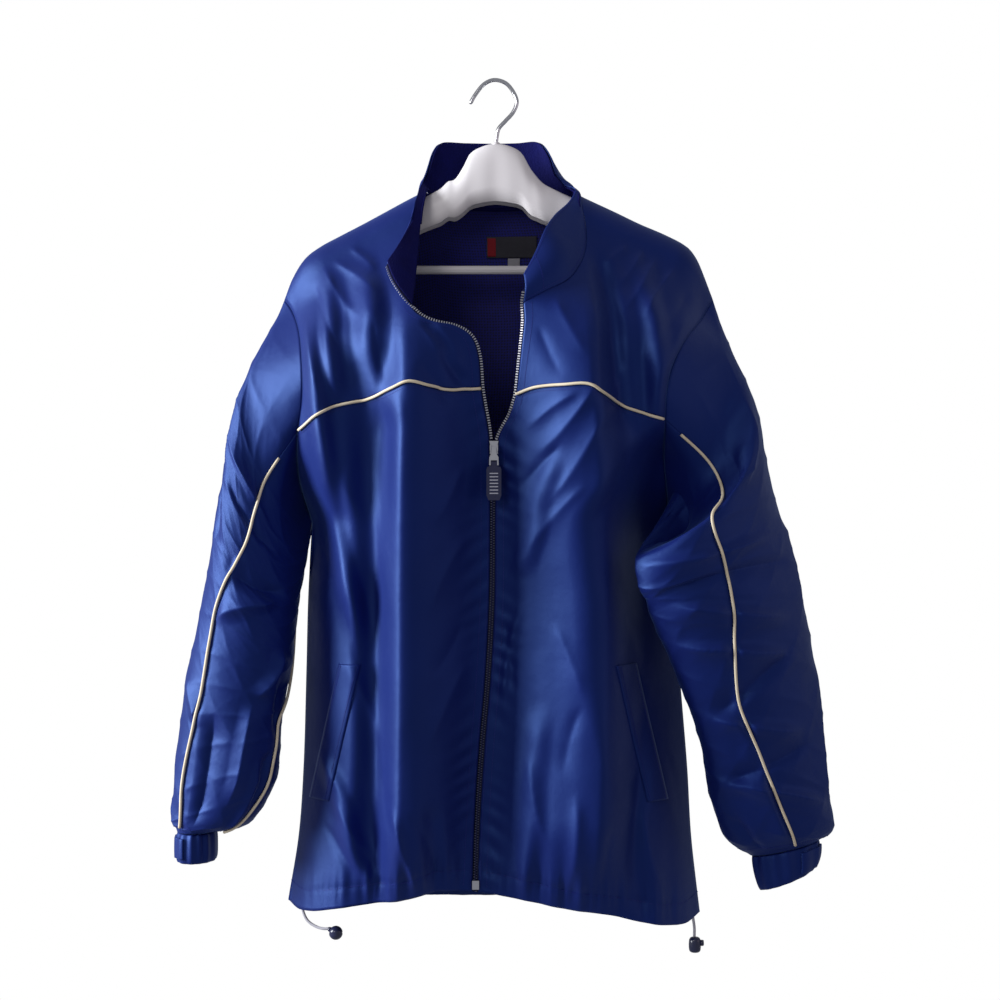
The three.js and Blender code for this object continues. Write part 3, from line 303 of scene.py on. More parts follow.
def lathe(name, profile, centre, segments=40):
    """A turned piece about an upright axis, from its radii and heights."""
    profile = np.asarray(profile, float)
    turns = np.arange(segments) / segments * 2 * math.pi
    points = [[0, 0, profile[0][1]]]
    for radius, height in profile[1:-1]:
        points += [[radius * math.cos(t), radius * math.sin(t), height] for t in turns]
    points.append([0, 0, profile[-1][1]])
    faces = []
    rings = len(profile) - 2
    top = len(points) - 1
    for j in range(segments):
        k = (j + 1) % segments
        faces.append((0, 1 + k, 1 + j))
        for i in range(rings - 1):
            a = 1 + i * segments
            faces.append((a + j, a + k, a + segments + k, a + segments + j))
        last = 1 + (rings - 1) * segments
        faces.append((last + j, last + k, top))
    return make(name, np.array(points) + np.array(centre), faces)


def ball_profile(radius, rows=20):
    """A ball with a shallow groove round its middle."""
    profile = []
    for i in range(rows + 1):
        angle = mix(-math.pi / 2, math.pi / 2, i / rows)
        groove = GROOVE_DEPTH * math.exp(-((angle / GROOVE_WIDTH) ** 2))
        out = 0 if i in (0, rows) else (radius - groove) * math.cos(angle)
        profile.append([out, radius * math.sin(angle)])
    return profile


def make_cords():
    """The two free ends of the hem's elastic cord, each with its toggle."""
    made = {}
    for hand, rows in (("right", CORD_RIGHT), ("left", CORD_LEFT)):
        points = along(columns(rows, "x", "y", "z"), np.linspace(0, 1, 40))
        made["cord_" + hand] = tube("cord_" + hand, points, CORD_DIAMETER / 2, 14)
        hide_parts("drawcord_" + hand)
    ball = lathe("toggle_ball", ball_profile(BALL_RADIUS), BALL_PLACE)
    knot = tube("toggle_ball_eye", BALL_EYE, [2.3, 2.6], 16)
    barrel = lathe("toggle_barrel", BARREL_PROFILE, BARREL_PLACE)
    button = tube("toggle_barrel_button", BARREL_BUTTON, [3.2, 3.2, 2.6], 18)
    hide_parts("toggle_right")
    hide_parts("toggle_left")
    ends = {"right": [ball, knot], "left": [barrel, button]}
    return made, ends


cords, toggles = make_cords()


# Body
RIDGE = table("x z", [-219, -229], [-211, -208], [-198, -187], [-182, -174], [-160, -162],
              [-135, -149], [-112, -136.5], [-89, -124], [-66, -112.5], [-3, -82], [80, -114.5],
              [100, -124], [127, -136.5], [153, -149], [183, -162], [204, -174], [214, -187],
              [223, -208], [231, -229])
SIDES = table("z right right_round left left_round", [-180, -240, 60, 252, 60],
              [-229, -224, 60, 236, 60], [-262, -228, 60, 238, 60], [-315, -228, 60, 228, 62],
              [-370, -226, 60, 214, 70], [-420, -210, 60, 198, 90], [-463, -190, 62, 185, 110],
              [-540, -194, 64, 191, 112], [-620, -196, 66, 196, 110], [-720, -199, 68, 204, 90],
              [-790, -204, 68, 208, 76], [-866, -215, 66, 218, 70])
DEPTHS = table("z front back", [-100, 88, 50], [-250, 88, 52], [-350, 86, 50], [-450, 79, 46],
               [-540, 71, 43], [-650, 67, 41], [-760, 65, 40], [-870, 61, 38])
HEM = table("x front back", [-216, -858, -858], [-200, -864, -862], [-156, -855, -864],
            [-90, -844, -862], [-61, -837, -861], [-20, -838, -861], [28, -845, -862],
            [76, -854, -864], [117, -860, -866], [151, -869, -869], [199, -877, -873],
            [218, -870, -870])

# Large folds: a ridge is positive, a valley negative.
FOLD = "top_z top_x middle_x bottom_x bottom_z height right_width left_width"
FOLDS = {
    FRONT: table(FOLD, [-205, -84, -90, -93, -900, 37, 30, 78], [-160, -143, -122, -106, -372, 13, 24, 24],
                 [-225, -194, -172, -138, -600, 12, 17, 19], [-185, -179, -166, -157, -345, 8, 14, 15],
                 [-300, -128, -124, -126, -860, -9, 22, 20], [-200, 90, 112, 101, -900, 40, 104, 46],
                 [-170, 108, 119, 126, -380, -13, 16, 18], [-165, 150, 166, 171, -400, 10, 18, 18],
                 [-330, 0, -4, -19, -880, -11, 46, 46], [-255, -66, -46, -30, -330, -5, 10, 12],
                 [-690, -176, -150, -122, -850, 7, 16, 16], [-740, -62, -58, -50, -870, -5, 15, 14],
                 [-640, 46, 40, 30, -850, 5, 16, 18], [-700, 150, 144, 152, -880, -7, 15, 16],
                 [-390, 60, 44, 30, -520, 4, 16, 16], [-360, 172, 162, 160, -580, -24, 34, 30]),
    BACK: table(FOLD, [-190, -120, -112, -104, -900, 11, 36, 44], [-230, -40, -34, -28, -900, -8, 34, 30],
                [-200, 66, 58, 46, -890, 10, 44, 36], [-230, 128, 132, 140, -900, -8, 30, 26],
                [-210, 168, 164, 168, -700, 6, 22, 22], [-260, -168, -162, -166, -840, 5, 20, 22]),
}

# Sharper creases, each from one place to another. Width is to one side of the crest.
CREASE = "x z to_x to_z width height"
CREASES = {
    FRONT: table(CREASE,
                 [-66, -258, -30, -318, 9, 4], [-75, -300, -40, -350, 9, -3.5],
                 [-176, -196, -128, -262, 7, 3.2], [-168, -190, -112, -232, 6, 2.6],
                 [-186, -214, -150, -300, 8, -3.4], [-192, -250, -168, -352, 7, 3],
                 [-150, -176, -118, -206, 5, 2.2], [-120, -250, -104, -330, 9, -3],
                 [156, -180, 128, -222, 6, 2.8], [170, -186, 132, -250, 7, 3],
                 [190, -198, 150, -262, 7, 3.4], [204, -220, 162, -282, 8, -3.4],
                 [200, -246, 168, -330, 7, 3], [140, -176, 112, -200, 5, 2.2],
                 [104, -322, 40, -398, 8, 3.6], [88, -330, 30, -372, 6, 2.8],
                 [112, -352, 48, -452, 9, 3.2], [70, -380, 24, -430, 6, -2.6],
                 [96, -420, 28, -500, 9, 2.6], [140, -380, 96, -470, 10, -3.2],
                 [28, -545, 10, -662, 5, 3.4], [12, -560, 22, -640, 4, -2.4],
                 [-28, -400, -62, -470, 8, 2.4], [-22, -470, -66, -560, 9, 2.4],
                 [-30, -560, -62, -620, 8, -2.2], [-24, -600, -70, -700, 9, 2.8],
                 [-104, -738, -72, -842, 7, 4.4], [-84, -748, -52, -836, 6, -3.2],
                 [-166, -736, -114, -812, 7, 4.2], [-178, -766, -128, -838, 6, -3],
                 [-186, -690, -140, -760, 8, 2.8], [-112, -700, -96, -790, 7, -2.8],
                 [-176, -420, -150, -560, 9, 3], [-160, -470, -134, -620, 8, -2.8],
                 [-120, -420, -104, -560, 6, 1.8], [-150, -600, -110, -700, 8, 2.2],
                 [36, -690, 60, -800, 8, 3], [84, -730, 74, -846, 7, 3.4],
                 [120, -760, 108, -852, 7, -3], [150, -740, 176, -850, 8, 3.6],
                 [176, -690, 196, -800, 7, -2.6], [140, -560, 166, -650, 9, 2.8],
                 [120, -500, 150, -600, 10, -2.6], [60, -560, 92, -640, 8, 2.2],
                 [90, -640, 70, -720, 8, -2.2], [130, -300, 104, -372, 8, 2.6],
                 [60, -230, 96, -300, 9, 2.2], [44, -262, 70, -322, 7, -2]),
    BACK: table(CREASE,
                [-190, -200, -120, -300, 9, 3.4], [-176, -190, -90, -240, 7, 2.8],
                [-196, -250, -150, -380, 9, -3], [196, -206, 130, -310, 9, 3.4],
                [180, -190, 96, -246, 7, 2.8], [204, -256, 160, -380, 9, -3],
                [-60, -170, -20, -230, 8, 2], [70, -180, 30, -240, 8, 2],
                [-150, -420, -110, -560, 10, 3], [140, -430, 104, -580, 10, 3],
                [-60, -500, -80, -660, 10, -2.6], [20, -460, 40, -640, 11, 2.8],
                [-170, -600, -130, -720, 9, 2.8], [170, -610, 120, -730, 9, 2.8],
                [-130, -740, -100, -846, 7, 3.6], [-70, -750, -54, -850, 7, -2.8],
                [-10, -740, 0, -846, 7, 3.2], [50, -750, 62, -850, 7, -2.8],
                [110, -740, 100, -850, 7, 3.6], [160, -750, 150, -856, 7, -2.8]),
}
GATHER_WAVE = 27
GATHER_HEIGHT = 2.2
GATHER_FADE = 95
GATHER_EDGE = 26
HEM_BAND = 21
PUCKER_REACH = 15
PUCKER_PITCH = 19
PUCKER_HEIGHT = 1.15
PUCKER_TOP = -340

ridge_z = reading(RIDGE, "x", "z")
side_of = {name: reading(SIDES, "z", name) for name in ("right", "right_round", "left", "left_round")}
depth_of = {FRONT: reading(DEPTHS, "z", "front"), BACK: reading(DEPTHS, "z", "back")}
hem_z = {FRONT: reading(HEM, "x", "front"), BACK: reading(HEM, "x", "back")}


def fold_height(folds, x, z):
    """The large folds, as rows of soft ridges and troughs."""
    total = np.zeros_like(x)
    for i in range(len(folds["height"])):
        fold = {name: values[i] for name, values in folds.items()}
        t = (fold["top_z"] - z) / (fold["top_z"] - fold["bottom_z"])
        upper = mix(fold["top_x"], fold["middle_x"], ease(t * 2))
        lower = mix(fold["middle_x"], fold["bottom_x"], ease(t * 2 - 1))
        away = x - np.where(t < 0.5, upper, lower)
        width = np.where(away < 0, fold["right_width"], fold["left_width"])
        near = (np.abs(away) < width) & (t > 0) & (t < 1)
        fade = ease(t * 5) * ease((1 - t) * 5)
        total += np.where(near, fold["height"] * fade * np.cos(away / width * math.pi / 2) ** 2, 0)
    return total


def crease_height(creases, x, z):
    """Creases with a pinched crest that dies away at both ends and bends a little."""
    total = np.zeros_like(x)
    for i in range(len(creases["height"])):
        fold = {name: values[i] for name, values in creases.items()}
        run = np.array([fold["to_x"] - fold["x"], fold["to_z"] - fold["z"]])
        length = np.linalg.norm(run)
        run = run / length
        t = ((x - fold["x"]) * run[0] + (z - fold["z"]) * run[1]) / length
        bend = 0.05 * length * math.sin(i * 2.4) * np.sin(np.clip(t, 0, 1) * math.pi)
        away = np.abs((z - fold["z"]) * run[0] - (x - fold["x"]) * run[1] - bend)
        width = fold["width"] * (0.7 + 0.6 * np.clip(t, 0, 1))
        pinch = np.clip(1 - away / (2.2 * width), 0, 1) ** 2.4
        total += fold["height"] * pinch * ease(np.clip(t, 0, 1) * 4) * ease((1 - np.clip(t, 0, 1)) * 3)
    return total


def gather_height(x, z, side):
    """Uneven gathers over the hem, wide above and fine at its stitching."""
    above = z - hem_z[side](x)
    swell = np.exp(-np.abs(above - GATHER_EDGE) / GATHER_FADE * 2.4)
    uneven = 0.6 + 0.4 * np.sin(x * 0.047 + side)
    broad = GATHER_HEIGHT * uneven * swell * np.sin(x * 2 * math.pi / GATHER_WAVE)
    fine_swell = np.exp(-(((above - HEM_BAND) / 16) ** 2))
    fine = 0.9 * fine_swell * np.sin(x * 2 * math.pi / 9.5 + 2.2 * np.sin(x * 0.11))
    return broad + fine


def zip_puckers(x, z):
    """Short slanting puckers that the zip's stitching draws up along both edges."""
    axis = ZIP_MIDDLE(z)
    away = x - axis
    reach = np.exp(-(((np.abs(away) - PUCKER_REACH) / 12) ** 2))
    slant = (z + 0.55 * np.abs(away)) * 2 * math.pi / PUCKER_PITCH
    phase = slant + 1.6 * np.sin(z * 0.043) + np.sign(away) * 0.8
    strength = 0.55 + 0.45 * np.sin(z * 0.031 + np.sign(away) * 1.3)
    return PUCKER_HEIGHT * reach * strength * np.sin(phase)


def seam_pull(x, z, side):
    """The hem's stitching sinks a little below the cloth round it."""
    above = z - hem_z[side](x)
    return -0.7 * np.exp(-(((above - HEM_BAND) / 2.4) ** 2))


ZIP_LINE = table("z x", [-838, -18], [-770, -16], [-690, -11], [-619, -5], [-540, -1], [-440, 0],
                 [-376, 1], [-345, 4])
ZIP_MIDDLE = reading(ZIP_LINE, "z", "x")


def lens(t):
    """The trunk's roundness from its edge (0) inwards."""
    return 1 - (1 - np.clip(t, 0, 1)) ** LENS_POWER


def stand_off(side, x, z, fine=True):
    """How far the cloth stands off the hanger's plane at a place seen from the front."""
    x = np.asarray(x, float)
    z = np.asarray(z, float)
    drop = ridge_z(x) - z
    over_arm = ARM_DEPTH * np.sqrt(1 - (1 - np.clip(drop / ARM_DEPTH, 0, 1)) ** 2)
    body = (depth_of[side](z) - ARM_DEPTH) * ease(drop / SHOULDER_SPREAD)
    to_right = lens((x - side_of["right"](z)) / side_of["right_round"](z))
    to_left = lens((side_of["left"](z) - x) / side_of["left_round"](z))
    low = ease((drop - 20) / 90)
    relief = fold_height(FOLDS[side], x, z) * low + gather_height(x, z, side)
    if fine:
        relief = relief + crease_height(CREASES[side], x, z) * ease((drop - 6) / 30)
        relief = relief + seam_pull(x, z, side)
        if side == FRONT:
            relief = relief + zip_puckers(x, z) * (z < PUCKER_TOP)
    return np.where(drop <= 0, 0, (over_arm + body + relief) * to_right * to_left)


def cloth(side, places, fine=True):
    """Points of the body's cloth from places seen from the front."""
    y = np.maximum(stand_off(side, places[..., 0], places[..., 1], fine), SEAM_GAP / 2)
    return np.stack([places[..., 0], side * y, places[..., 1]], axis=-1)


SEAMS = {
    "right": {
        "zip": [[-21, -838], [-19, -770], [-14, -690], [-8, -619], [-4, -540], [-3, -440], [-4, -376],
                [-9, -345], [-12, -327]],
        "opening": [[-12, -327], [-15, -292], [-22, -274], [-38, -264], [-60, -260], [-76, -252],
                    [-82, -244]],
        "neck": [[-82, -244], [-79, -210], [-77, -170], [-74, -136], [-70, -114.3]],
        "yoke": [[-12, -327], [-43, -329], [-63, -326], [-83, -322], [-98, -328], [-123, -337],
                 [-143, -341], [-163, -346], [-183, -359], [-200, -370]],
        "armhole_front": [[-200, -370], [-194, -342], [-193, -312], [-199, -268], [-210, -241],
                          [-219, -229]],
        "armhole_low": [[-190, -463], [-197, -440], [-202, -410], [-200, -370]],
        "armhole_back": [[-190, -463], [-191, -420], [-188, -365], [-190, -310], [-201, -262],
                         [-219, -229]],
        "side": [[-215, -858], [-204, -790], [-199, -720], [-196, -620], [-194, -540], [-190, -463]],
    },
    "left": {
        "zip": [[-15, -838.5], [-13, -770], [-8, -690], [-2, -619], [2, -540], [3, -440], [6, -376],
                [18, -352], [24, -333]],
        "opening": [[24, -333], [27, -305], [30, -279], [32, -258], [31, -241]],
        "neck": [[31, -241], [53, -229], [78, -214], [94, -186], [96, -155], [88, -118.4]],
        "yoke": [[24, -333], [42, -327], [72, -325], [95, -325], [110, -334], [132, -345],
                 [157, -353], [174, -358]],
        "armhole_front": [[174, -358], [175, -330], [180, -306], [196, -276], [216, -252],
                          [231, -229]],
        "armhole_low": [[185, -460], [181, -430], [176, -395], [174, -358]],
        "armhole_back": [[185, -460], [190, -415], [192, -360], [198, -305], [214, -262],
                         [231, -229]],
        "side": [[217, -872], [208, -790], [204, -720], [196, -620], [191, -540], [185, -460]],
    },
}
SHOULDERS = {"right": (-70, -219), "left": (88, 231)}
BACK_NECK = [[-70, -114.3], [-56, -124], [-3, -131], [62, -126], [88, -118.4]]
ZIP_CELLS = 15
OPENING_CELLS = 6
NECK_CELLS = 6
FRONT_CELLS = OPENING_CELLS + NECK_CELLS
LOW_CELLS = 4
BACK_CELLS = 8
CROWDING = 1.35
YOKE_ROWS = 84
LOWER_ROWS = 190
FRONT_COLUMNS = 84
BACK_ROWS = 200
BACK_COLUMNS = 140


def seam(hand, name):
    return np.array(SEAMS[hand][name], float)


def fill(bottom, top, inner, outer, v):
    """Fills four edges, seen from the front, with a smooth net of places."""
    u = np.linspace(0, 1, len(bottom))[None, :, None]
    across = mix(inner[:, None], outer[:, None], u)
    up = mix(bottom[None], top[None], v)
    low = mix(bottom[0], bottom[-1], u)
    high = mix(top[0], top[-1], u)
    return across + up - mix(low, high, v)


def shoulder_line(start, end, count):
    x = np.linspace(start, end, count)
    return np.stack([x, ridge_z(x)], axis=-1)


def crowd_up(last, count):
    """Row positions that lie closer together under the shoulder line."""
    s = np.linspace(0, 1, count)
    return last * (1 - (1 - s) ** CROWDING)


def front_places(hand):
    """Places of a yoke and of the lower panel under it."""
    u = np.linspace(0, 1, FRONT_COLUMNS)
    yoke_bottom = along(seam(hand, "yoke"), u)
    inner_line = chained((seam(hand, "opening"), OPENING_CELLS), (seam(hand, "neck"), NECK_CELLS))
    index = crowd_up(FRONT_CELLS, YOKE_ROWS)
    outer = along(seam(hand, "armhole_front"), index / FRONT_CELLS)
    top = shoulder_line(*SHOULDERS[hand], FRONT_COLUMNS)
    yoke = fill(yoke_bottom, top, inner_line(index), outer, (index / FRONT_CELLS)[:, None, None])
    index = np.linspace(0, ZIP_CELLS, LOWER_ROWS)
    zip_line = along(seam(hand, "zip"), index / ZIP_CELLS)
    side_cells = ZIP_CELLS - LOW_CELLS
    outer_line = chained((seam(hand, "side"), side_cells), (seam(hand, "armhole_low"), LOW_CELLS))
    outer = outer_line(index)
    hem_x = np.linspace(zip_line[0, 0], outer[0, 0], FRONT_COLUMNS)
    hem = np.stack([hem_x, hem_z[FRONT](hem_x)], axis=-1)
    zip_line[0] = hem[0]
    outer[0] = hem[-1]
    lower = fill(hem, yoke_bottom, zip_line, outer, (index / ZIP_CELLS)[:, None, None])
    return yoke, lower


def back_places():
    """Places of the back, from the hem up to the shoulders and the neck."""
    u = np.linspace(0, 3, BACK_COLUMNS)
    top = chained((shoulder_line(SHOULDERS["right"][1], SHOULDERS["right"][0], 40), 1),
                  (np.array(BACK_NECK, float), 1),
                  (shoulder_line(*SHOULDERS["left"], 40), 1))(u)
    last = BACK_CELLS * 2
    index = crowd_up(last, BACK_ROWS)
    edges = [chained((seam(hand, "side"), BACK_CELLS), (seam(hand, "armhole_back"), BACK_CELLS))(index)
             for hand in ("right", "left")]
    hem_x = np.linspace(edges[0][0, 0], edges[1][0, 0], BACK_COLUMNS)
    hem = np.stack([hem_x, hem_z[BACK](hem_x)], axis=-1)
    edges[0][0] = hem[0]
    edges[1][0] = hem[-1]
    return fill(hem, top, edges[0], edges[1], (index / last)[:, None, None])


def cloth_normals(side, points):
    return grid_normals(points, np.array([0, side, 0.0]))


def body_panels():
    for hand in ("right", "left"):
        yoke, lower = front_places(hand)
        for name, places in (("yoke_" + hand, yoke), ("front_" + hand, lower)):
            points = cloth(FRONT, places)
            grids[name] = (points, cloth_normals(FRONT, points))
    points = cloth(BACK, back_places())
    grids["back"] = (points, cloth_normals(BACK, points))
    for name in ("yoke_right", "yoke_left", "front_right", "front_left", "back"):
        pieces[name] = shell("panel_" + name, *grids[name], CLOTH)
        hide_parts(name)


body_panels()


# Sleeves: each row is a section, from its outer end to its inner end, with its swell to the
# front and back and the turns at which its two seams lie.
SECTION = "ox oy oz ix iy iz front back seam_a seam_b"
SLEEVES = {
    "right": table(SECTION, [-234, 0, -271, -198, -18, -486, 52, 42, 0.7, 1.5],
                   [-247, -2, -313, -203, -30, -505, 55, 44, 0.68, 1.48],
                   [-259, -4, -362, -207, -38, -530, 54, 46, 0.64, 1.44],
                   [-270, -6, -410, -210, -42, -555, 53, 46, 0.58, 1.38],
                   [-281, -8, -460, -211, -42, -583, 51, 46, 0.49, 1.3],
                   [-292, -10, -515, -212, -42, -612, 48, 46, 0.41, 1.22],
                   [-304, -12, -570, -216, -42, -641, 46, 44, 0.39, 1.1],
                   [-315, -14, -618, -220, -42, -668, 44, 42, 0.39, 0.98],
                   [-322, -16, -665, -221, -42, -700, 42, 40, 0.34, 0.93],
                   [-329, -20, -722, -227, -38, -735, 40, 38, 0.28, 0.88],
                   [-330, -22, -763, -252, -34, -772, 34, 34, 0.3, 0.8],
                   [-327, -20, -781, -287, -24, -781, 29, 29, 0.3, 0.8]),
    "left": table(SECTION, [243, -3, -272, 194, -12, -472, 58, 30, 0.7, 1.5],
                  [256, -5, -322, 180, -56, -480, 62, 28, 0.7, 1.56],
                  [273, -6, -380, 146, -92, -494, 56, 16, 0.62, 1.55],
                  [288, -8, -436, 147, -97, -526, 48, 18, 0.57, 1.47],
                  [302, -10, -481, 156, -92, -540, 45, 36, 0.57, 1.42],
                  [315, -12, -527, 166, -85, -568, 43, 40, 0.58, 1.38],
                  [326, -14, -574, 184, -76, -606, 41, 42, 0.63, 1.34],
                  [333, -17, -625, 203, -66, -655, 38, 40, 0.66, 1.3],
                  [340, -20, -685, 216, -58, -698, 35, 38, 0.6, 1.26],
                  [346, -22, -735, 222, -50, -738, 33, 36, 0.53, 1.23],
                  [353, -22, -776, 240, -42, -786, 28, 32, 0.48, 1.2],
                  [339, -22, -790, 266, -30, -806, 21, 21, 0.45, 1.2]),
}

# Folds round the sleeves: the section and turn where each starts and ends, its width in
# sections and its height.
SLEEVE_FOLD = "row turn to_row to_turn width height"
SLEEVE_FOLDS = {
    "right": table(SLEEVE_FOLD, [6.5, 0.36, 3.5, 0.92, 0.28, 7], [4.9, 0.44, 2.9, 0.98, 0.42, -7],
                   [5.2, 0.95, 7.4, 0.74, 0.36, 8], [7.4, 0.74, 10.6, 0.62, 0.32, 7],
                   [8.2, 0.5, 11.3, 0.44, 0.36, -7], [6.2, 0.9, 8.6, 0.96, 0.3, -5],
                   [7.9, 0.2, 8.9, 0.4, 0.4, 4], [8.8, 0.9, 10.6, 0.8, 0.3, -5],
                   [2.6, 0.3, 1.5, 0.84, 0.24, 4], [3.1, 0.36, 2.0, 0.9, 0.22, -3.5],
                   [1.2, 0.2, 3.4, 0.34, 0.4, 4], [3.6, 0.2, 5.0, 0.3, 0.36, -4],
                   [9.2, 0.8, 11.4, 0.74, 0.26, 4], [10.4, 0.1, 11.8, 0.24, 0.3, 3.4],
                   [4.6, 1.2, 5.8, 1.8, 0.5, 7], [6.6, 1.8, 7.6, 1.2, 0.5, 7],
                   [8.4, 1.2, 9.4, 1.8, 0.5, 6], [2.4, 1.3, 4.4, 1.6, 0.5, 5],
                   [9.6, 1.7, 11.4, 1.3, 0.4, -4]),
    "left": table(SLEEVE_FOLD, [3.2, 0.94, 4.6, 0.3, 0.4, 6], [4.4, 0.9, 5.4, 0.2, 0.38, -5.5],
                  [5.2, 0.86, 6.6, 0.3, 0.42, 7.5], [6.4, 0.92, 7.4, 0.28, 0.36, 6],
                  [7.0, 0.3, 8.2, 0.86, 0.34, -6], [8.0, 0.88, 8.8, 0.3, 0.34, 6],
                  [8.9, 0.25, 9.8, 0.85, 0.34, -5], [9.6, 0.9, 10.4, 0.15, 0.34, 5.5],
                  [1.4, 0.3, 3.2, 0.42, 0.4, 4], [1.0, 0.6, 3.4, 0.58, 0.4, -5],
                  [4.2, 0.12, 6.6, 0.2, 0.3, 3.6], [7.4, 0.1, 10.6, 0.14, 0.3, 4],
                  [9.2, 0.6, 11.4, 0.5, 0.28, 4], [10.3, 0.8, 11.7, 0.7, 0.26, -3.4],
                  [4.6, 1.2, 5.8, 1.8, 0.5, 7], [6.6, 1.8, 7.6, 1.2, 0.5, 7],
                  [8.4, 1.2, 9.4, 1.8, 0.5, 6], [2.4, 1.3, 4.4, 1.6, 0.5, 5],
                  [9.6, 1.7, 11.4, 1.3, 0.4, -4]),
}
LOOP_CELLS = 24
UNDERARM = 16
SEAM_A = 12
SEAM_B = 20
ARMHOLE_GAP = 0.1
SLEEVE_STEPS = 22
FRONT_TURNS = 84
BACK_TURNS = 120
HALF_GIRTH = 2.6


def armhole(hand, index):
    """The armhole's edge: from its top (0) down the front to the underarm, then up the back."""
    index = np.asarray(index, float) % LOOP_CELLS
    yoke_row = np.interp(index, [0, 1, 2, 3, 12], [12, 11.72, 11, 9, 0])
    back_row = np.interp(index, [16, 21, 22, 23, 24], [0, 5, 7, 7.72, 8])
    on_yoke = cloth(FRONT, along(seam(hand, "armhole_front"), yoke_row / 12), False)
    low = np.clip(UNDERARM - index, 0, LOW_CELLS) / LOW_CELLS
    on_front = cloth(FRONT, along(seam(hand, "armhole_low"), low), False)
    on_back = cloth(BACK, along(seam(hand, "armhole_back"), back_row / BACK_CELLS), False)
    first = np.where(index[:, None] <= SEAM_A, on_yoke, on_front)
    return np.where(index[:, None] <= UNDERARM, first, on_back)


def section(rows, i, turn):
    """One section's points at given turns."""
    row = {name: values[i] for name, values in rows.items()}
    outer = np.array([row["ox"], row["oy"], row["oz"]])
    inner = np.array([row["ix"], row["iy"], row["iz"]])
    centre = (outer + inner) / 2
    reach = outer - centre
    ahead = unit(np.array([reach[1], -reach[0], 0]) * np.sign(row["ox"]))
    angle = turn * math.pi
    swell = np.where(np.sin(angle) > 0, row["front"], row["back"])
    return centre + np.outer(np.cos(angle), reach) + np.outer(swell * np.sin(angle), ahead)


def turns_at(index, seam_a, seam_b):
    return np.interp(index % LOOP_CELLS, [0, SEAM_A, SEAM_B, LOOP_CELLS], [0, seam_a, seam_b, 2])


def rise_along(rings, steps):
    """Smooth rows between sections."""
    ends = np.concatenate([2 * rings[:1] - rings[1:2], rings, 2 * rings[-1:] - rings[-2:-1]])
    out = []
    position = []
    for i in range(1, len(ends) - 2):
        p0, p1, p2, p3 = ends[i - 1 : i + 3]
        for s in np.arange(steps) / steps:
            a = (p2 - p0) / 2
            b = (p3 - p1) / 2
            square = 3 * (p2 - p1) - 2 * a - b
            cubic = 2 * (p1 - p2) + a + b
            out.append(p1 + a * s + square * s**2 + cubic * s**3)
            position.append(i - 1 + s)
    return np.array(out + [rings[-1]]), np.array(position + [len(rings) - 1])


def sleeve_fold_height(folds, row, turn):
    total = np.zeros(np.broadcast(row, turn).shape)
    for i in range(len(folds["height"])):
        fold = {name: values[i] for name, values in folds.items()}
        run = np.array([fold["to_row"] - fold["row"], (fold["to_turn"] - fold["turn"]) * HALF_GIRTH])
        length = np.linalg.norm(run)
        run = run / length
        for lap in (-2, 0, 2):
            across = (turn + lap - fold["turn"]) * HALF_GIRTH
            t = ((row - fold["row"]) * run[0] + across * run[1]) / length
            bend = 0.07 * math.sin(i * 2.1) * np.sin(np.clip(t, 0, 1) * math.pi)
            away = (row - fold["row"]) * run[1] - across * run[0] - bend
            side = np.where(away > 0, 0.62, 1.25)
            pinch = np.clip(1 - np.abs(away) / (fold["width"] * side), 0, 1) ** 1.7
            inside = ease(np.clip(t, 0, 1) * 3.5) * ease((1 - np.clip(t, 0, 1)) * 3.5)
            total += fold["height"] * pinch * inside
    return total


def crumple(row, turn, hand):
    """Low uneven facets where the thin cloth of the sleeves has no large fold."""
    shift = 1.7 if hand == "left" else 0
    a = np.sin(row * 4.1 + turn * 7.0 + shift) * np.sin(row * 1.7 - turn * 9.0 + 2 * shift)
    b = np.sin(row * 7.9 - turn * 11.0 + shift) * np.sin(row * 2.9 + turn * 15.0)
    return 0.9 * (1 - np.abs(a)) ** 3 + 0.2 * (1 - np.abs(b)) ** 3


def sleeve(hand, first, last, count):
    """The part of a sleeve between two columns of its loop."""
    rows = SLEEVES[hand]
    index = np.linspace(first, last, count)
    loop = armhole(hand, index)
    key = armhole(hand, np.array([0.0, UNDERARM]))
    half = (key[0][2] - key[1][2]) / 2
    level = np.clip((loop[:, 2] - key[0][2] + 2 * half) / (2 * half), 0, 1) * 2 - 1
    natural = np.arccos(level) / math.pi
    on_back = index % LOOP_CELLS > UNDERARM
    natural = np.where(on_back, 2 - natural, natural)
    rings = [loop]
    turns = [turns_at(index, rows["seam_a"][0], rows["seam_b"][0])]
    for i in range(len(rows["ox"])):
        turn = turns_at(index, rows["seam_a"][i], rows["seam_b"][i])
        turns.append(turn)
        rings.append(section(rows, i, mix(natural, turn, ease((i + 2) / 5))))
    rings[0] = loop + unit(rings[1] - loop) * ARMHOLE_GAP
    points, position = rise_along(np.array(rings), SLEEVE_STEPS)
    turn = rise_along(np.array(turns)[..., None], SLEEVE_STEPS)[0][..., 0]
    ends = np.array([0.0, 1.0])
    last_row = len(rows["ox"]) - 1
    middle = np.array([section(rows, min(int(p), last_row), ends).mean(axis=0) for p in position])
    normals = grid_normals(points, points - middle[:, None])
    row = position[:, None]
    height = sleeve_fold_height(SLEEVE_FOLDS[hand], row, turn) + crumple(row, turn, hand)
    keep = ease(row / 0.9) * ease((last_row + 1 - row) / 0.5)
    seam_dip = 1 - 0.75 * np.exp(-((np.minimum(index - first, last - index)[None] / 0.35) ** 2))
    points = points + normals * (height * keep * seam_dip)[..., None]
    return points, grid_normals(points, points - middle[:, None])


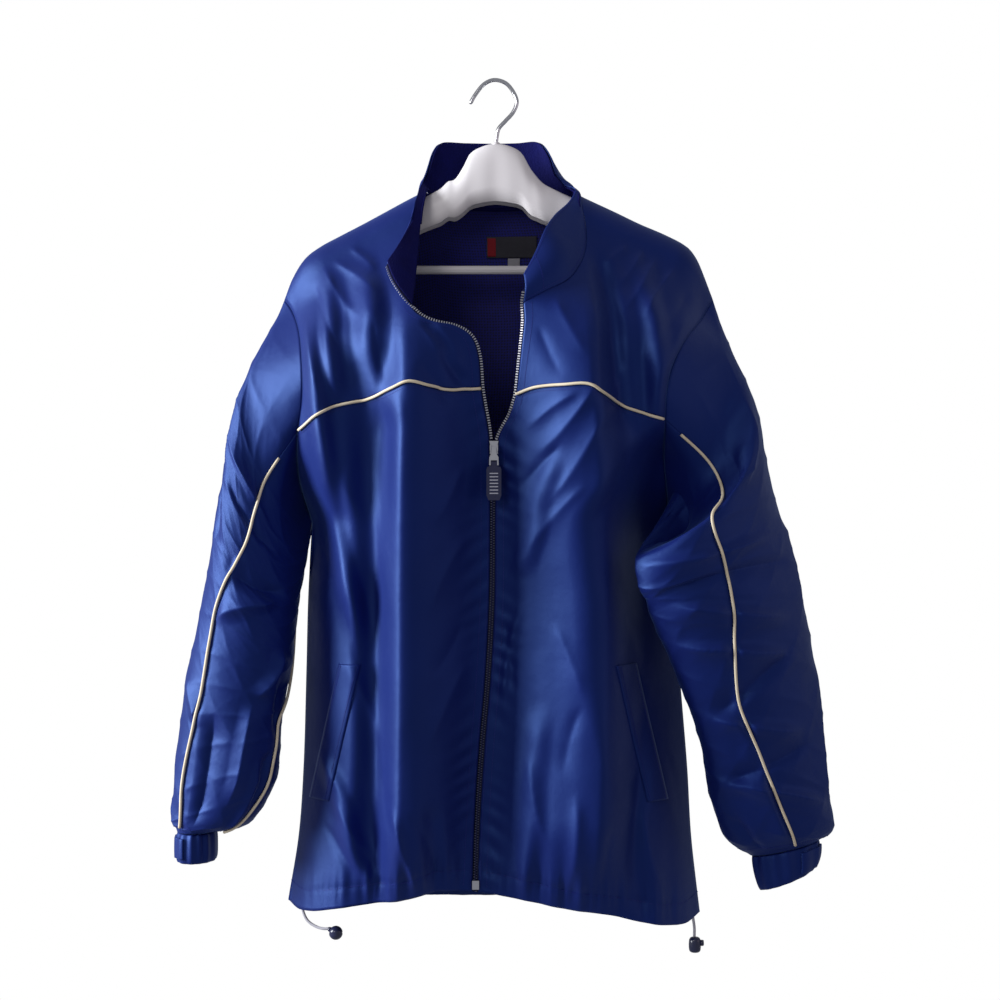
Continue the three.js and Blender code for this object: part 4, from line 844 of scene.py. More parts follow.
def sleeves():
    for hand in ("right", "left"):
        for face, first, last, count in (("front", SEAM_A, SEAM_B, FRONT_TURNS),
                                         ("back", SEAM_B, LOOP_CELLS + SEAM_A, BACK_TURNS)):
            name = "sleeve_" + face + "_" + hand
            grids[name] = sleeve(hand, first, last, count)
            pieces[name] = shell("cloth_" + name, *grids[name], CLOTH)
            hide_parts(name)


sleeves()


# Collar
COLLAR_TOP = {
    "right": [[-107, -75, -199], [-96, -60, -179], [-86, -42, -155], [-78, -20, -122], [-72, 8, -98]],
    "back": [[-72, 8, -98], [-63, 30, -66], [-56, 41, -57], [-30, 49, -56], [-3, 52, -56],
             [26, 49, -56], [49, 41, -56], [58, 29, -67], [66, 8, -95]],
    "left": [[66, 8, -95], [76, -1, -108], [86, -10, -113], [80, -25, -128], [63, -50, -147],
             [53, -66, -163], [43, -78, -188], [31, -88, -212]],
}
COLLAR_SWELL = 5
COLLAR_GAP = 0.2
COLLAR_CELLS = 20
COLLAR_COLUMNS = 180
COLLAR_ROWS = 40
COLLAR_CREASES = table("across height width lift", [2.0, 0.5, 0.9, 2.2], [4.5, 0.4, 0.7, -1.8],
                       [7.5, 0.6, 1.0, 2.0], [10.5, 0.35, 1.1, -1.6], [13.0, 0.6, 0.8, 2.2],
                       [15.5, 0.45, 0.7, -2.0], [18.0, 0.5, 0.8, 2.0])


def neck_crowd(at):
    """Places on a front neck edge, closer together under the shoulder line."""
    crowded = np.interp(OPENING_CELLS + at, [0, 9, 10, 11, 12], [0, 9, 11, 11.72, 12])
    return crowded - OPENING_CELLS


def collar_seam(index):
    """The neck edge from the right opening round the back to the left opening."""
    right_at = neck_crowd(np.clip(index, 0, NECK_CELLS)) / NECK_CELLS
    left_at = neck_crowd(np.clip(COLLAR_CELLS - index, 0, NECK_CELLS)) / NECK_CELLS
    back_at = np.clip(index - NECK_CELLS, 0, BACK_CELLS) / BACK_CELLS
    right = cloth(FRONT, along(seam("right", "neck"), right_at), False)
    back = cloth(BACK, along(BACK_NECK, back_at), False)
    left = cloth(FRONT, along(seam("left", "neck"), left_at), False)
    first = np.where(index[:, None] <= NECK_CELLS, right, back)
    return np.where(index[:, None] <= NECK_CELLS + BACK_CELLS, first, left)


def collar_points():
    """The stand of the collar from its foot up, swelling outwards between its creases."""
    index = np.linspace(0, COLLAR_CELLS, COLLAR_COLUMNS)
    foot = collar_seam(index)
    cells = {"right": NECK_CELLS, "back": BACK_CELLS, "left": NECK_CELLS}
    top = chained(*((np.array(COLLAR_TOP[part], float), cells[part]) for part in cells))(index)
    rise = top - foot
    start = COLLAR_GAP / np.linalg.norm(rise, axis=1, keepdims=True)
    points = []
    for t in np.linspace(0, 1, COLLAR_ROWS):
        p = foot + rise * mix(start, 1, t)
        swell = COLLAR_SWELL * math.sin(t * math.pi)
        for i in range(len(COLLAR_CREASES["lift"])):
            near = (index - COLLAR_CREASES["across"][i]) / COLLAR_CREASES["width"][i]
            high = (t - COLLAR_CREASES["height"][i]) / 0.42
            swell = swell + COLLAR_CREASES["lift"][i] * np.exp(-(near**2)) * math.exp(-(high**2))
        away = unit(p * np.array([1, 1, 0]))
        points.append(p + away * np.reshape(swell, (-1, 1)))
    return np.array(points)


def collar():
    points = collar_points()
    normals = grid_normals(points, points * np.array([1, 1, 0]))
    grids["collar"] = (points, normals)
    pieces["collar"] = shell("collar_outside", points, normals, CLOTH)
    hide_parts("collar")
    inside = points - normals * (CLOTH + 5 * SEAM_GAP)
    pieces["collar_lining"] = shell("collar_inside", inside, normals, LINING)
    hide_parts("collar_lining")


collar()


# Lining and labels inside the neck
LINING_FROM = 8
LINING_COLUMNS = slice(36, 105)
LABEL_PLACE = (-7, 47, -157, -179)
SIZE_TAB_PLACE = (16, 29, -179.5, -192)
END_BLOCK_PLACE = (-6, 3, -158.5, -177.5)
LABEL_WALL = 0.8
END_BLOCK_WALL = 0.15


def inside_back(x_from, x_to, z_top, z_bottom, inset, across, up):
    """A flat piece that lies inside the back, between two sides and two heights."""
    x = np.linspace(x_from, x_to, across)
    z = np.linspace(z_bottom, z_top, up)
    places = np.stack(np.meshgrid(x, z), axis=-1)
    points = cloth(BACK, places, False)
    normals = cloth_normals(BACK, points)
    return points - normals * inset, normals


def inside_pieces():
    index = crowd_up(BACK_CELLS * 2, BACK_ROWS)
    part = back_places()[index >= LINING_FROM][:, LINING_COLUMNS]
    points = cloth(BACK, part, False)
    normals = cloth_normals(BACK, points)
    pieces["back_lining"] = shell("lining_back", points - normals * (CLOTH + SEAM_GAP), normals, LINING)
    inset = CLOTH + LINING + 3 * SEAM_GAP
    label = inside_back(*LABEL_PLACE, inset, 40, 18)
    tab = inside_back(*SIZE_TAB_PLACE, inset, 14, 14)
    pieces["neck_label"] = shell("label_neck", *label, LABEL_WALL)
    pieces["size_tab"] = shell("label_size", *tab, LABEL_WALL)
    end_block = inside_back(*END_BLOCK_PLACE, inset + LABEL_WALL + 0.02, 12, 16)
    pieces["label_block"] = shell("label_end_block", *end_block, END_BLOCK_WALL)
    for name in ("back_lining", "neck_label", "size_tab"):
        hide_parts(name)


inside_pieces()


# Rows of small parts: each point carries the way it faces, and a node tree sets a part on it.
def input_id(tree, name):
    return next(item.identifier for item in tree.interface.items_tree
                if item.item_type == "SOCKET" and item.in_out == "INPUT" and item.name == name)


def row_tree():
    """Sets a box-shaped bar on every point, its length along 'way' and its face towards 'up'."""
    tree = bpy.data.node_groups.new("bars on a line", "GeometryNodeTree")
    interface = tree.interface
    interface.new_socket("Points", in_out="INPUT", socket_type="NodeSocketGeometry")
    for name in ("Length", "Width", "Depth"):
        interface.new_socket(name, in_out="INPUT", socket_type="NodeSocketFloat")
    interface.new_socket("Material", in_out="INPUT", socket_type="NodeSocketMaterial")
    interface.new_socket("Bars", in_out="OUTPUT", socket_type="NodeSocketGeometry")
    new = tree.nodes.new
    link = tree.links.new
    source = new("NodeGroupInput")
    size = new("ShaderNodeCombineXYZ")
    for name, axis in (("Length", "X"), ("Width", "Y"), ("Depth", "Z")):
        link(source.outputs[name], size.inputs[axis])
    cube = new("GeometryNodeMeshCube")
    link(size.outputs[0], cube.inputs["Size"])
    rotations = None
    for axis, attribute in (("X", "way"), ("Z", "up")):
        read = new("GeometryNodeInputNamedAttribute")
        read.data_type = "FLOAT_VECTOR"
        read.inputs["Name"].default_value = attribute
        turn = new("FunctionNodeAlignRotationToVector")
        turn.axis = axis
        turn.pivot_axis = "AUTO" if axis == "X" else "X"
        link(read.outputs["Attribute"], turn.inputs["Vector"])
        if rotations:
            link(rotations.outputs["Rotation"], turn.inputs["Rotation"])
        rotations = turn
    place = new("GeometryNodeInstanceOnPoints")
    link(source.outputs["Points"], place.inputs["Points"])
    link(cube.outputs["Mesh"], place.inputs["Instance"])
    link(rotations.outputs["Rotation"], place.inputs["Rotation"])
    real = new("GeometryNodeRealizeInstances")
    link(place.outputs["Instances"], real.inputs["Geometry"])
    paint = new("GeometryNodeSetMaterial")
    link(real.outputs["Geometry"], paint.inputs["Geometry"])
    link(source.outputs["Material"], paint.inputs["Material"])
    result = new("NodeGroupOutput")
    link(paint.outputs["Geometry"], result.inputs["Bars"])
    return tree


ROW_TREE = row_tree()


def bars(name, points, ways, ups, size, material, body="garment"):
    """One plain mesh of small bars, size being (length, width, depth) in millimetres."""
    mesh = bpy.data.meshes.new(name)
    mesh.from_pydata((np.asarray(points) * MM).tolist(), [], [])
    for attribute, values in (("way", ways), ("up", ups)):
        data = mesh.attributes.new(attribute, "FLOAT_VECTOR", "POINT")
        data.data.foreach_set("vector", unit(np.asarray(values, float)).ravel())
    seed = bpy.data.objects.new(name + "_points", mesh)
    bpy.context.collection.objects.link(seed)
    modifier = seed.modifiers.new("bars", "NODES")
    modifier.node_group = ROW_TREE
    for label, value in zip(("Length", "Width", "Depth"), size):
        modifier[input_id(ROW_TREE, label)] = value * MM
    modifier[input_id(ROW_TREE, "Material")] = material
    graph = bpy.context.evaluated_depsgraph_get()
    plain = bpy.data.meshes.new_from_object(seed.evaluated_get(graph))
    plain.name = name
    bpy.data.objects.remove(seed)
    obj = bpy.data.objects.new(name, plain)
    bpy.context.collection.objects.link(obj)
    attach(obj, body)
    return obj


def spaced(line, ups, pitch):
    """Evenly spaced points on a line, with its direction and the carried up direction."""
    line = np.asarray(line, float)
    length = np.concatenate([[0], np.cumsum(np.linalg.norm(np.diff(line, axis=0), axis=1))])
    at = np.arange(pitch / 2, length[-1], pitch)
    ways = unit(np.gradient(line, axis=0))
    return [np.stack([np.interp(at, length, values[:, i]) for i in range(3)], axis=-1)
            for values in (line, ways, np.asarray(ups, float))]


# Materials
def node_material(name):
    material = bpy.data.materials.new(name)
    material.use_nodes = True
    tree = material.node_tree
    return material, tree, tree.nodes["Principled BSDF"]


def colour_noise(tree, shader, low, high, scale):
    """Uneven colour between two shades."""
    coords = tree.nodes.new("ShaderNodeTexCoord")
    noise = tree.nodes.new("ShaderNodeTexNoise")
    noise.inputs["Scale"].default_value = scale
    noise.inputs["Detail"].default_value = 4
    blend = tree.nodes.new("ShaderNodeMix")
    blend.data_type = "RGBA"
    blend.inputs["A"].default_value = (*low, 1)
    blend.inputs["B"].default_value = (*high, 1)
    tree.links.new(coords.outputs["Object"], noise.inputs["Vector"])
    tree.links.new(noise.outputs["Fac"], blend.inputs["Factor"])
    tree.links.new(blend.outputs["Result"], shader.inputs["Base Color"])
    return coords, noise


def add_bump(tree, shader, height, distance, strength=1.0, previous=None):
    bump = tree.nodes.new("ShaderNodeBump")
    bump.inputs["Distance"].default_value = distance
    bump.inputs["Strength"].default_value = strength
    tree.links.new(height, bump.inputs["Height"])
    if previous:
        tree.links.new(previous.outputs["Normal"], bump.inputs["Normal"])
    tree.links.new(bump.outputs["Normal"], shader.inputs["Normal"])
    return bump


def facets(tree, coords):
    """Uneven flat facets, their borders pushed about by a soft noise."""
    crinkle = tree.nodes.new("ShaderNodeTexVoronoi")
    crinkle.feature = "SMOOTH_F1"
    crinkle.inputs["Scale"].default_value = 24
    crinkle.inputs["Smoothness"].default_value = 0.35
    warp = tree.nodes.new("ShaderNodeTexNoise")
    warp.inputs["Scale"].default_value = 14
    warp.inputs["Detail"].default_value = 3
    shift = tree.nodes.new("ShaderNodeVectorMath")
    shift.operation = "MULTIPLY_ADD"
    shift.inputs[1].default_value = (0.055, 0.055, 0.055)
    tree.links.new(coords.outputs["Object"], warp.inputs["Vector"])
    tree.links.new(warp.outputs["Color"], shift.inputs[0])
    tree.links.new(coords.outputs["Object"], shift.inputs[2])
    tree.links.new(shift.outputs[0], crinkle.inputs["Vector"])
    return crinkle.outputs["Distance"]


def noise_height(tree, places, scale, detail):
    noise = tree.nodes.new("ShaderNodeTexNoise")
    noise.inputs["Scale"].default_value = scale
    noise.inputs["Detail"].default_value = detail
    noise.inputs["Roughness"].default_value = 0.6
    tree.links.new(places, noise.inputs["Vector"])
    return noise.outputs["Fac"]


def upright_wrinkles(tree, coords):
    """Thin ridges that run mostly up and down."""
    upright = tree.nodes.new("ShaderNodeMapping")
    upright.inputs["Scale"].default_value = (1, 1, 0.4)
    wrinkles = tree.nodes.new("ShaderNodeTexNoise")
    wrinkles.noise_type = "RIDGED_MULTIFRACTAL"
    wrinkles.inputs["Scale"].default_value = 13
    wrinkles.inputs["Detail"].default_value = 4
    wrinkles.inputs["Distortion"].default_value = 0.4
    tree.links.new(coords.outputs["Object"], upright.inputs["Vector"])
    tree.links.new(upright.outputs["Vector"], wrinkles.inputs["Vector"])
    return wrinkles.outputs["Fac"]


def plain_weave(tree, coords):
    weave = tree.nodes.new("ShaderNodeTexWave")
    weave.inputs["Scale"].default_value = 420
    weave.inputs["Distortion"].default_value = 0.6
    tree.links.new(coords.outputs["UV"], weave.inputs["Vector"])
    return weave.outputs["Fac"]


def nylon():
    """Thin shiny nylon: dark royal blue, fine facets of crinkle and a tight plain weave."""
    material, tree, shader = node_material("shell nylon")
    coords, _ = colour_noise(tree, shader, (0.0009, 0.0018, 0.068), (0.0022, 0.0048, 0.108), 7)
    shader.inputs["Roughness"].default_value = 0.5
    shader.inputs["Specular IOR Level"].default_value = 0.9
    shader.inputs["Specular Tint"].default_value = (0.17, 0.38, 1.0, 1)
    shader.inputs["Sheen Weight"].default_value = 0.22
    shader.inputs["Sheen Roughness"].default_value = 0.45
    shader.inputs["Sheen Tint"].default_value = (0.2, 0.38, 1.0, 1)
    broad = add_bump(tree, shader, facets(tree, coords), 0.004, 0.16)
    small = add_bump(tree, shader, noise_height(tree, coords.outputs["Object"], 110, 5), 0.0008, 0.3, broad)
    creased = add_bump(tree, shader, upright_wrinkles(tree, coords), 0.008, 0.5, small)
    add_bump(tree, shader, plain_weave(tree, coords), 0.0001, 0.3, creased)
    return material


def woven(name, low, high, roughness, scale, depth, sheen=0.0):
    """A cloth with a visible grain on its own map."""
    material, tree, shader = node_material(name)
    coords, _ = colour_noise(tree, shader, low, high, 60)
    shader.inputs["Roughness"].default_value = roughness
    shader.inputs["Sheen Weight"].default_value = sheen
    shader.inputs["Specular IOR Level"].default_value = 0.15
    grain = tree.nodes.new("ShaderNodeTexVoronoi")
    grain.inputs["Scale"].default_value = scale
    tree.links.new(coords.outputs["UV"], grain.inputs["Vector"])
    add_bump(tree, shader, grain.outputs["Distance"], depth, 0.8)
    return material


def mesh_cloth():
    """Open mesh: small round holes in rows, with painted shade in the holes and a bump for their depth."""
    material, tree, shader = node_material("mesh lining")
    coords = tree.nodes.new("ShaderNodeTexCoord")
    holes = tree.nodes.new("ShaderNodeTexVoronoi")
    holes.inputs["Scale"].default_value = 330
    holes.inputs["Randomness"].default_value = 0.15
    ramp = tree.nodes.new("ShaderNodeValToRGB")
    # The darker colour inside the holes is painted shade.
    ramp.color_ramp.elements[0].position = 0.26
    ramp.color_ramp.elements[0].color = (0.0008, 0.0008, 0.05, 1)
    ramp.color_ramp.elements[1].position = 0.42
    ramp.color_ramp.elements[1].color = (0.004, 0.006, 0.2, 1)
    tree.links.new(coords.outputs["UV"], holes.inputs["Vector"])
    tree.links.new(holes.outputs["Distance"], ramp.inputs["Fac"])
    tree.links.new(ramp.outputs["Color"], shader.inputs["Base Color"])
    shader.inputs["Roughness"].default_value = 0.75
    add_bump(tree, shader, holes.outputs["Distance"], 0.0006, 0.8)
    return material


def plastic(name, low, high, roughness, scale=40, depth=0.0002, coat=0.0):
    """Moulded plastic with a faint unevenness."""
    material, tree, shader = node_material(name)
    _, noise = colour_noise(tree, shader, low, high, scale)
    shader.inputs["Roughness"].default_value = roughness
    shader.inputs["Coat Weight"].default_value = coat
    add_bump(tree, shader, noise.outputs["Fac"], depth, 0.5)
    return material


def metal(name, colour, roughness):
    """Plated metal with fine wear."""
    material, tree, shader = node_material(name)
    _, noise = colour_noise(tree, shader, tuple(c * 0.86 for c in colour), colour, 320)
    shader.inputs["Metallic"].default_value = 1
    shader.inputs["Roughness"].default_value = roughness
    add_bump(tree, shader, noise.outputs["Fac"], 0.00008, 0.5)
    return material


NYLON = nylon()
TRICOT = woven("tricot", (0.0012, 0.0014, 0.05), (0.0026, 0.0036, 0.09), 0.85, 520, 0.0005)
MESH = mesh_cloth()
PIPING = woven("piping", (0.62, 0.50, 0.33), (0.86, 0.76, 0.60), 0.6, 700, 0.0003, 0.1)
TAPE = woven("zip tape", (0.008, 0.010, 0.04), (0.016, 0.019, 0.07), 0.7, 800, 0.0003)
THREAD = woven("thread", (0.010, 0.016, 0.14), (0.02, 0.03, 0.22), 0.5, 900, 0.0002)
LABEL = woven("label", (0.035, 0.034, 0.045), (0.06, 0.058, 0.07), 0.7, 900, 0.0003)
PALE_LABEL = woven("size tab", (0.30, 0.29, 0.32), (0.42, 0.40, 0.44), 0.7, 900, 0.0003)
END_BLOCK = woven("label end", (0.22, 0.012, 0.02), (0.32, 0.02, 0.03), 0.6, 900, 0.0003)
CORD = woven("elastic cord", (0.38, 0.37, 0.43), (0.62, 0.60, 0.66), 0.75, 700, 0.0006)
TOGGLE = plastic("toggle plastic", (0.012, 0.014, 0.05), (0.02, 0.024, 0.075), 0.28, 60, 0.0002, 0.3)
TAB = plastic("tab rubber", (0.014, 0.016, 0.06), (0.022, 0.026, 0.085), 0.55, 400, 0.0003)
GRIP = plastic("grip bars", (0.45, 0.45, 0.55), (0.58, 0.58, 0.68), 0.5)
HANGER = plastic("hanger plastic", (0.74, 0.69, 0.71), (0.83, 0.79, 0.81), 0.32, 14, 0.0004, 0.15)
STEEL = metal("zip metal", (0.66, 0.66, 0.72), 0.34)
# The closed teeth are the zip's steel painted darker and bluer: painted shade of the valley they lie in.
SHADED_STEEL = metal("closed teeth in painted shade", (0.16, 0.17, 0.26), 0.45)
CHROME = metal("hook chrome", (0.72, 0.72, 0.76), 0.16)


def dress(obj, material, slot):
    obj.data.materials.clear()
    obj.data.materials.append(material)


# Zip
TAPE_REACH = 2.7
TAPE_UNDER = 9
TAPE_UNDER_OPEN = 3
TAPE_WALL = 0.8
OPENING_FOOT = -335
CHAIN_TOP = -394
OPEN_TEETH_FROM = CHAIN_TOP + 16
CLOSED_TOOTH = (2.4, 0.8, 1.3)
OPEN_TOOTH = (2.6, 1.15, 1.7)
STOP_BOX = (9, 7, 2.6)


def front_edge(hand, with_collar):
    """Points of one front edge from the hem up, with their normals and inward directions."""
    lower, lower_n = grids["front_" + hand]
    yoke, yoke_n = grids["yoke_" + hand]
    rows = crowd_up(FRONT_CELLS, YOKE_ROWS) <= OPENING_CELLS
    stretches = [(lower[:-1, 0], lower_n[:-1, 0], lower[:-1, 3]),
                 (yoke[rows, 0], yoke_n[rows, 0], yoke[rows, 3])]
    if with_collar:
        points, normals = grids["collar"]
        edge = 0 if hand == "right" else -1
        near = 3 if hand == "right" else -4
        rows = slice(2, -2) if hand == "right" else slice(2, 20)
        stretches.append((points[rows, edge], normals[rows, edge], points[rows, near]))
    edge, normals, near = (np.concatenate([s[i] for s in stretches]) for i in range(3))
    return edge, normals, unit(near - edge)


def smooth_line(values, times=3):
    for _ in range(times):
        middle = (values[:-2] + 2 * values[1:-1] + values[2:]) / 4
        values = np.concatenate([values[:1], middle, values[-1:]])
    return values


def zip_tapes():
    inset = CLOTH + 2 * SEAM_GAP
    for hand in ("right", "left"):
        edge, normals, inward = front_edge(hand, True)
        edge, normals, inward = smooth_line(edge), smooth_line(normals), smooth_line(inward)
        under = np.where(edge[:, 2] < OPENING_FOOT, TAPE_UNDER, TAPE_UNDER_OPEN)
        reach = np.linspace(0, 1, 7)[None] * (TAPE_REACH + under[:, None]) - TAPE_REACH
        points = edge[:, None] + inward[:, None] * reach[..., None] - normals[:, None] * inset
        up = np.broadcast_to(normals[:, None], points.shape)
        pieces["zip_tape_" + hand] = shell("tape_" + hand, points, up, TAPE_WALL)
        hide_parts("zip_tape_" + hand)


def zip_teeth():
    """Interlocked teeth below the slider and one row on each opened edge above it."""
    right, right_n, _ = front_edge("right", False)
    left = front_edge("left", False)[0]
    count = len(grids["front_right"][0]) - 1
    low = [i for i in range(count) if right[i, 2] < CHAIN_TOP]
    centre = (right[low] + left[low]) / 2
    ups = smooth_line(right_n[low], 6)
    points, ways, normals = spaced(centre, ups, TEETH_PITCH / 2)
    across = unit(np.cross(ways, normals))
    side = np.where(np.arange(len(points)) % 2 == 0, 0.8, -0.8)[:, None]
    # The closed teeth's darker steel is painted shade, not a different metal.
    closed = bars("teeth_closed", points + across * side - normals * 1.1, across, normals,
                  CLOSED_TOOTH, SHADED_STEEL)
    cord = tube("teeth_core", points[::3] - normals[::3] * 0.9, 0.9, 8)
    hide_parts("zip_chain")
    dress(cord, TAPE, "zip_tape")
    dress(closed, SHADED_STEEL, "zip_metal")
    for hand in ("right", "left"):
        edge, normals, inward = front_edge(hand, True)
        top = edge[:, 2] > OPEN_TEETH_FROM
        edge, normals, inward = (smooth_line(v[top], 4) for v in (edge, normals, inward))
        line = edge - inward * 2.5 - normals * 1.2
        points, ways, ups = spaced(line, normals, TEETH_PITCH)
        sideways = unit(np.cross(ways, ups))
        row = bars("teeth_open_" + hand, points, sideways, ups, OPEN_TOOTH, STEEL)
        dress(row, STEEL, "zip_metal")


zip_tapes()
zip_teeth()


def stop_box():
    """The retainer at the zip's foot."""
    foot = grids["front_right"][0][2, 0]
    middle = foot + np.array([3.35, -1.2, 1.5])
    box = bars("zip_box", [middle], [[0, 0, 1]], [[0, -1, 0]], STOP_BOX, STEEL)
    dress(box, STEEL, "zip_metal")


stop_box()


# Piping. The front sleeve cords start at these rows under the armhole.
CORD_START = {"right": 12, "left": 7}


def piping():
    lift = PIPING_RADIUS + 0.5
    for hand in ("right", "left"):
        points, normals = grids["yoke_" + hand]
        line = points[0, :-2] + normals[0, :-2] * lift
        pieces["piping_yoke_" + hand] = tube("cord_yoke_" + hand, line, PIPING_RADIUS, 12)
        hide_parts("piping_yoke_" + hand)
        points, normals = grids["sleeve_front_" + hand]
        for letter, column in (("a", 0), ("b", -1)):
            first = CORD_START[hand] if letter == "a" else SLEEVE_STEPS
            rows = slice(first, -SLEEVE_STEPS // 2, 2)
            line = smooth_line(points[rows, column] + normals[rows, column] * lift, 6)
            name = "piping_sleeve_" + letter + "_" + hand
            pieces[name] = tube("cord_" + name, line, PIPING_RADIUS, 12)
            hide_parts(name)


piping()


# Pocket welts
WELTS = table("hand top_x top_z bottom_x bottom_z lift", [1, 124, -606, 158, -748, 0.6],
              [-1, -134, -606, -168, -748, 0.6])
WELT_WIDTH = 23
WELT_WALL = 1.3
WELT_ROWS = 60
WELT_COLUMNS = 14


def welts():
    for i, hand in enumerate(("left", "right")):
        welt = {name: values[i] for name, values in WELTS.items()}
        t = np.linspace(0, 1, WELT_ROWS)[::-1, None]
        u = np.linspace(0, 1, WELT_COLUMNS)
        z = mix(welt["top_z"], welt["bottom_z"], t)
        x = mix(welt["top_x"], welt["bottom_x"], t) + welt["hand"] * WELT_WIDTH * u
        points = cloth(FRONT, np.stack([x, np.broadcast_to(z, x.shape)], axis=-1))
        normals = cloth_normals(FRONT, points)
        rounded = np.minimum(u, 1 - u)
        height = welt["lift"] + WELT_WALL * np.sqrt(np.clip(rounded / 0.2, 0.04, 1))
        points = points + normals * height[None, :, None]
        grids["welt_" + hand] = (points, normals)
        pieces["welt_" + hand] = shell("welt_" + hand, points, normals, WELT_WALL)
        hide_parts("pocket_welt_" + hand)


welts()


# Cuffs
CUFF_ROWS = {
    "right": [[-327, -20, -781.9, -287.5, -24, -781.9, 29, 29, 0, 0],
              [-327.5, -20, -797, -287, -24, -797, 30, 30, 0, 0],
              [-327.5, -20, -812, -287, -24, -812, 30, 30, 0, 0]],
    "left": [[338.5, -22, -791, 267, -30, -807, 20.5, 20.5, 0, 0],
             [338, -22, -806, 270, -30, -825, 21, 21, 0, 0],
             [334, -22, -820, 275, -30, -842, 21, 21, 0, 0]],
}
CUFF_WALL = 2.4
CUFF_GATHERS = 13
CUFF_TURNS = 120
STRAP_WALL = 1.5
STRAP_COLUMNS = 25


def cuffs():
    for hand in ("right", "left"):
        rows = table(SECTION, *CUFF_ROWS[hand])
        turn = np.arange(CUFF_TURNS) / CUFF_TURNS * 2
        rings = np.array([section(rows, i, turn) for i in range(3)])
        points = rise_along(rings, 10)[0]
        v = np.linspace(0, 1, len(points))[:, None]
        centre = points.mean(axis=1, keepdims=True)
        normals = grid_normals(points, points - centre, True)
        wave = np.sin(turn * math.pi * CUFF_GATHERS + 1.1 * np.sin(turn * math.pi * 3))[None]
        gathers = wave * 0.9 * (1 - 0.5 * v) - 1.2 * np.abs(2 * v - 1) ** 6
        points = points + normals * gathers[..., None]
        pieces["cuff_" + hand] = shell("cuff_band_" + hand, points, normals, CUFF_WALL, True)
        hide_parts("cuff_" + hand)
        strap = normals[3:-3, :STRAP_COLUMNS]
        over = points[3:-3, :STRAP_COLUMNS] + strap * (STRAP_WALL + 0.4)
        pieces["strap_" + hand] = shell("cuff_tab_" + hand, over, strap, STRAP_WALL)
        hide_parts("cuff_strap_" + hand)


cuffs()


# Neck seam
NECK_ROLL = 2.4
ROLL_FROM = 3.5
ROLL_TO = 16.5


def neck_roll():
    """The turned seam allowances, a soft roll inside the neck from shoulder to shoulder."""
    points, normals = grids["collar"]
    index = np.linspace(0, COLLAR_CELLS, COLLAR_COLUMNS)
    part = (index > ROLL_FROM) & (index < ROLL_TO)
    route = points[0][part] - normals[0][part] * (CLOTH + LINING + NECK_ROLL / 2)
    route = route - np.array([0, 0, NECK_ROLL / 2])
    roll = tube("neck_roll", route, NECK_ROLL / 2, 10)
    dress(roll, TRICOT, "tricot")


neck_roll()


# Hanger
HOOK_LINE = [[-24, -23], [-19, -14], [-9, -2], [1, 2.1], [13, -1], [21, -10], [25, -21], [21, -32],
             [13, -41], [6, -49], [4, -57], [3, -64.5]]
HANGER_FORM = table("x top half height", [-198, -192, 7, 12], [-186, -183, 11, 21],
                    [-160, -167, 13.6, 31], [-112, -141, 14, 34], [-70, -118, 12.6, 35],
                    [-48, -104.5, 14, 39], [-40, -102.5, 14.5, 42], [-31, -89, 14, 50],
                    [-24, -75.5, 13.5, 57], [-10, -67.5, 13.5, 61], [3, -65, 13, 62],
                    [17, -67.5, 13.5, 61], [30, -75, 13.5, 57], [40, -92, 14, 50],
                    [50, -103, 14.5, 42], [72, -114.5, 12.6, 36], [115, -135, 14, 34],
                    [160, -156, 13.6, 31], [192, -173, 11, 21], [205, -184, 7, 12])
HOOK_SOCKET = [[3, 0, -67], [3, 0, -64.4], [3, 0, -63.6]]
NECK_HALF = 50
HANGER_DROP = 4.6


def hanger():
    """The hook, and the body as a channel open below, its crown rounded."""
    hook = np.array(HOOK_LINE, float)
    stops = np.column_stack([hook[:, 0], np.zeros(len(hook)), hook[:, 1]])
    route = along(stops, np.linspace(0, 1, 120))
    radius = np.full(len(route), HOOK_WIRE / 2)
    radius[:3] = [1.2, 1.8, 2.05]
    pieces["hook"] = tube("hook_wire", route, radius, 24)
    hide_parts("hanger_hook")
    x = np.linspace(HANGER_FORM["x"][0], HANGER_FORM["x"][-1], 150)
    top, half, height = (reading(HANGER_FORM, "x", name)(x) for name in ("top", "half", "height"))
    clear = np.minimum(top, ridge_z(x) - CLOTH - HANGER_DROP)
    near = ease((np.abs(x) - NECK_HALF + 6) / 12)
    top = mix(top, clear, near)
    angle = np.linspace(0, 1, 37)[None] * math.pi
    across = -np.cos(angle)
    y = half[:, None] * np.sign(across) * np.abs(across) ** 0.8
    rise = np.clip(np.sin(angle), 0, 1) ** 0.55
    z = top[:, None] - height[:, None] * (1 - rise)
    points = np.stack([np.broadcast_to(x[:, None], y.shape), y, z], axis=-1)
    outward = np.stack([np.zeros_like(y), y, np.full_like(y, 20.0)], axis=-1)
    normals = grid_normals(points, outward)
    pieces["hanger"] = shell("hanger_form", points, normals, HANGER_WALL)
    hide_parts("hanger_body")
    socket = tube("hook_socket", HOOK_SOCKET, [4.6, 4.4, 3.4], 24)
    dress(socket, HANGER, "hanger_plastic")


hanger()


# Stitching: the distances in from each sewn edge
ZIP_STITCH = 9
EDGE_STITCH = 2
OPENING_STITCH = 8
YOKE_STITCH = 5


def stitch_line(name, line, normals):
    points, ways, ups = spaced(smooth_line(line, 2), normals, STITCH_PITCH)
    row = bars("stitches_" + name, points + ups * 0.08, ways, ups, STITCH_SIZE, THREAD)
    dress(row, THREAD, "shell_nylon")


def inset_column(points, distance, from_last=False):
    """The column of each row that lies a distance in from one edge, between grid points."""
    if from_last:
        points = points[:, ::-1]
    steps = np.linalg.norm(np.diff(points, axis=1), axis=-1)
    run = np.concatenate([np.zeros((len(points), 1)), np.cumsum(steps, axis=1)], axis=1)
    return np.array([[np.interp(distance, run[i], points[i, :, k]) for k in range(3)]
                     for i in range(len(points))])


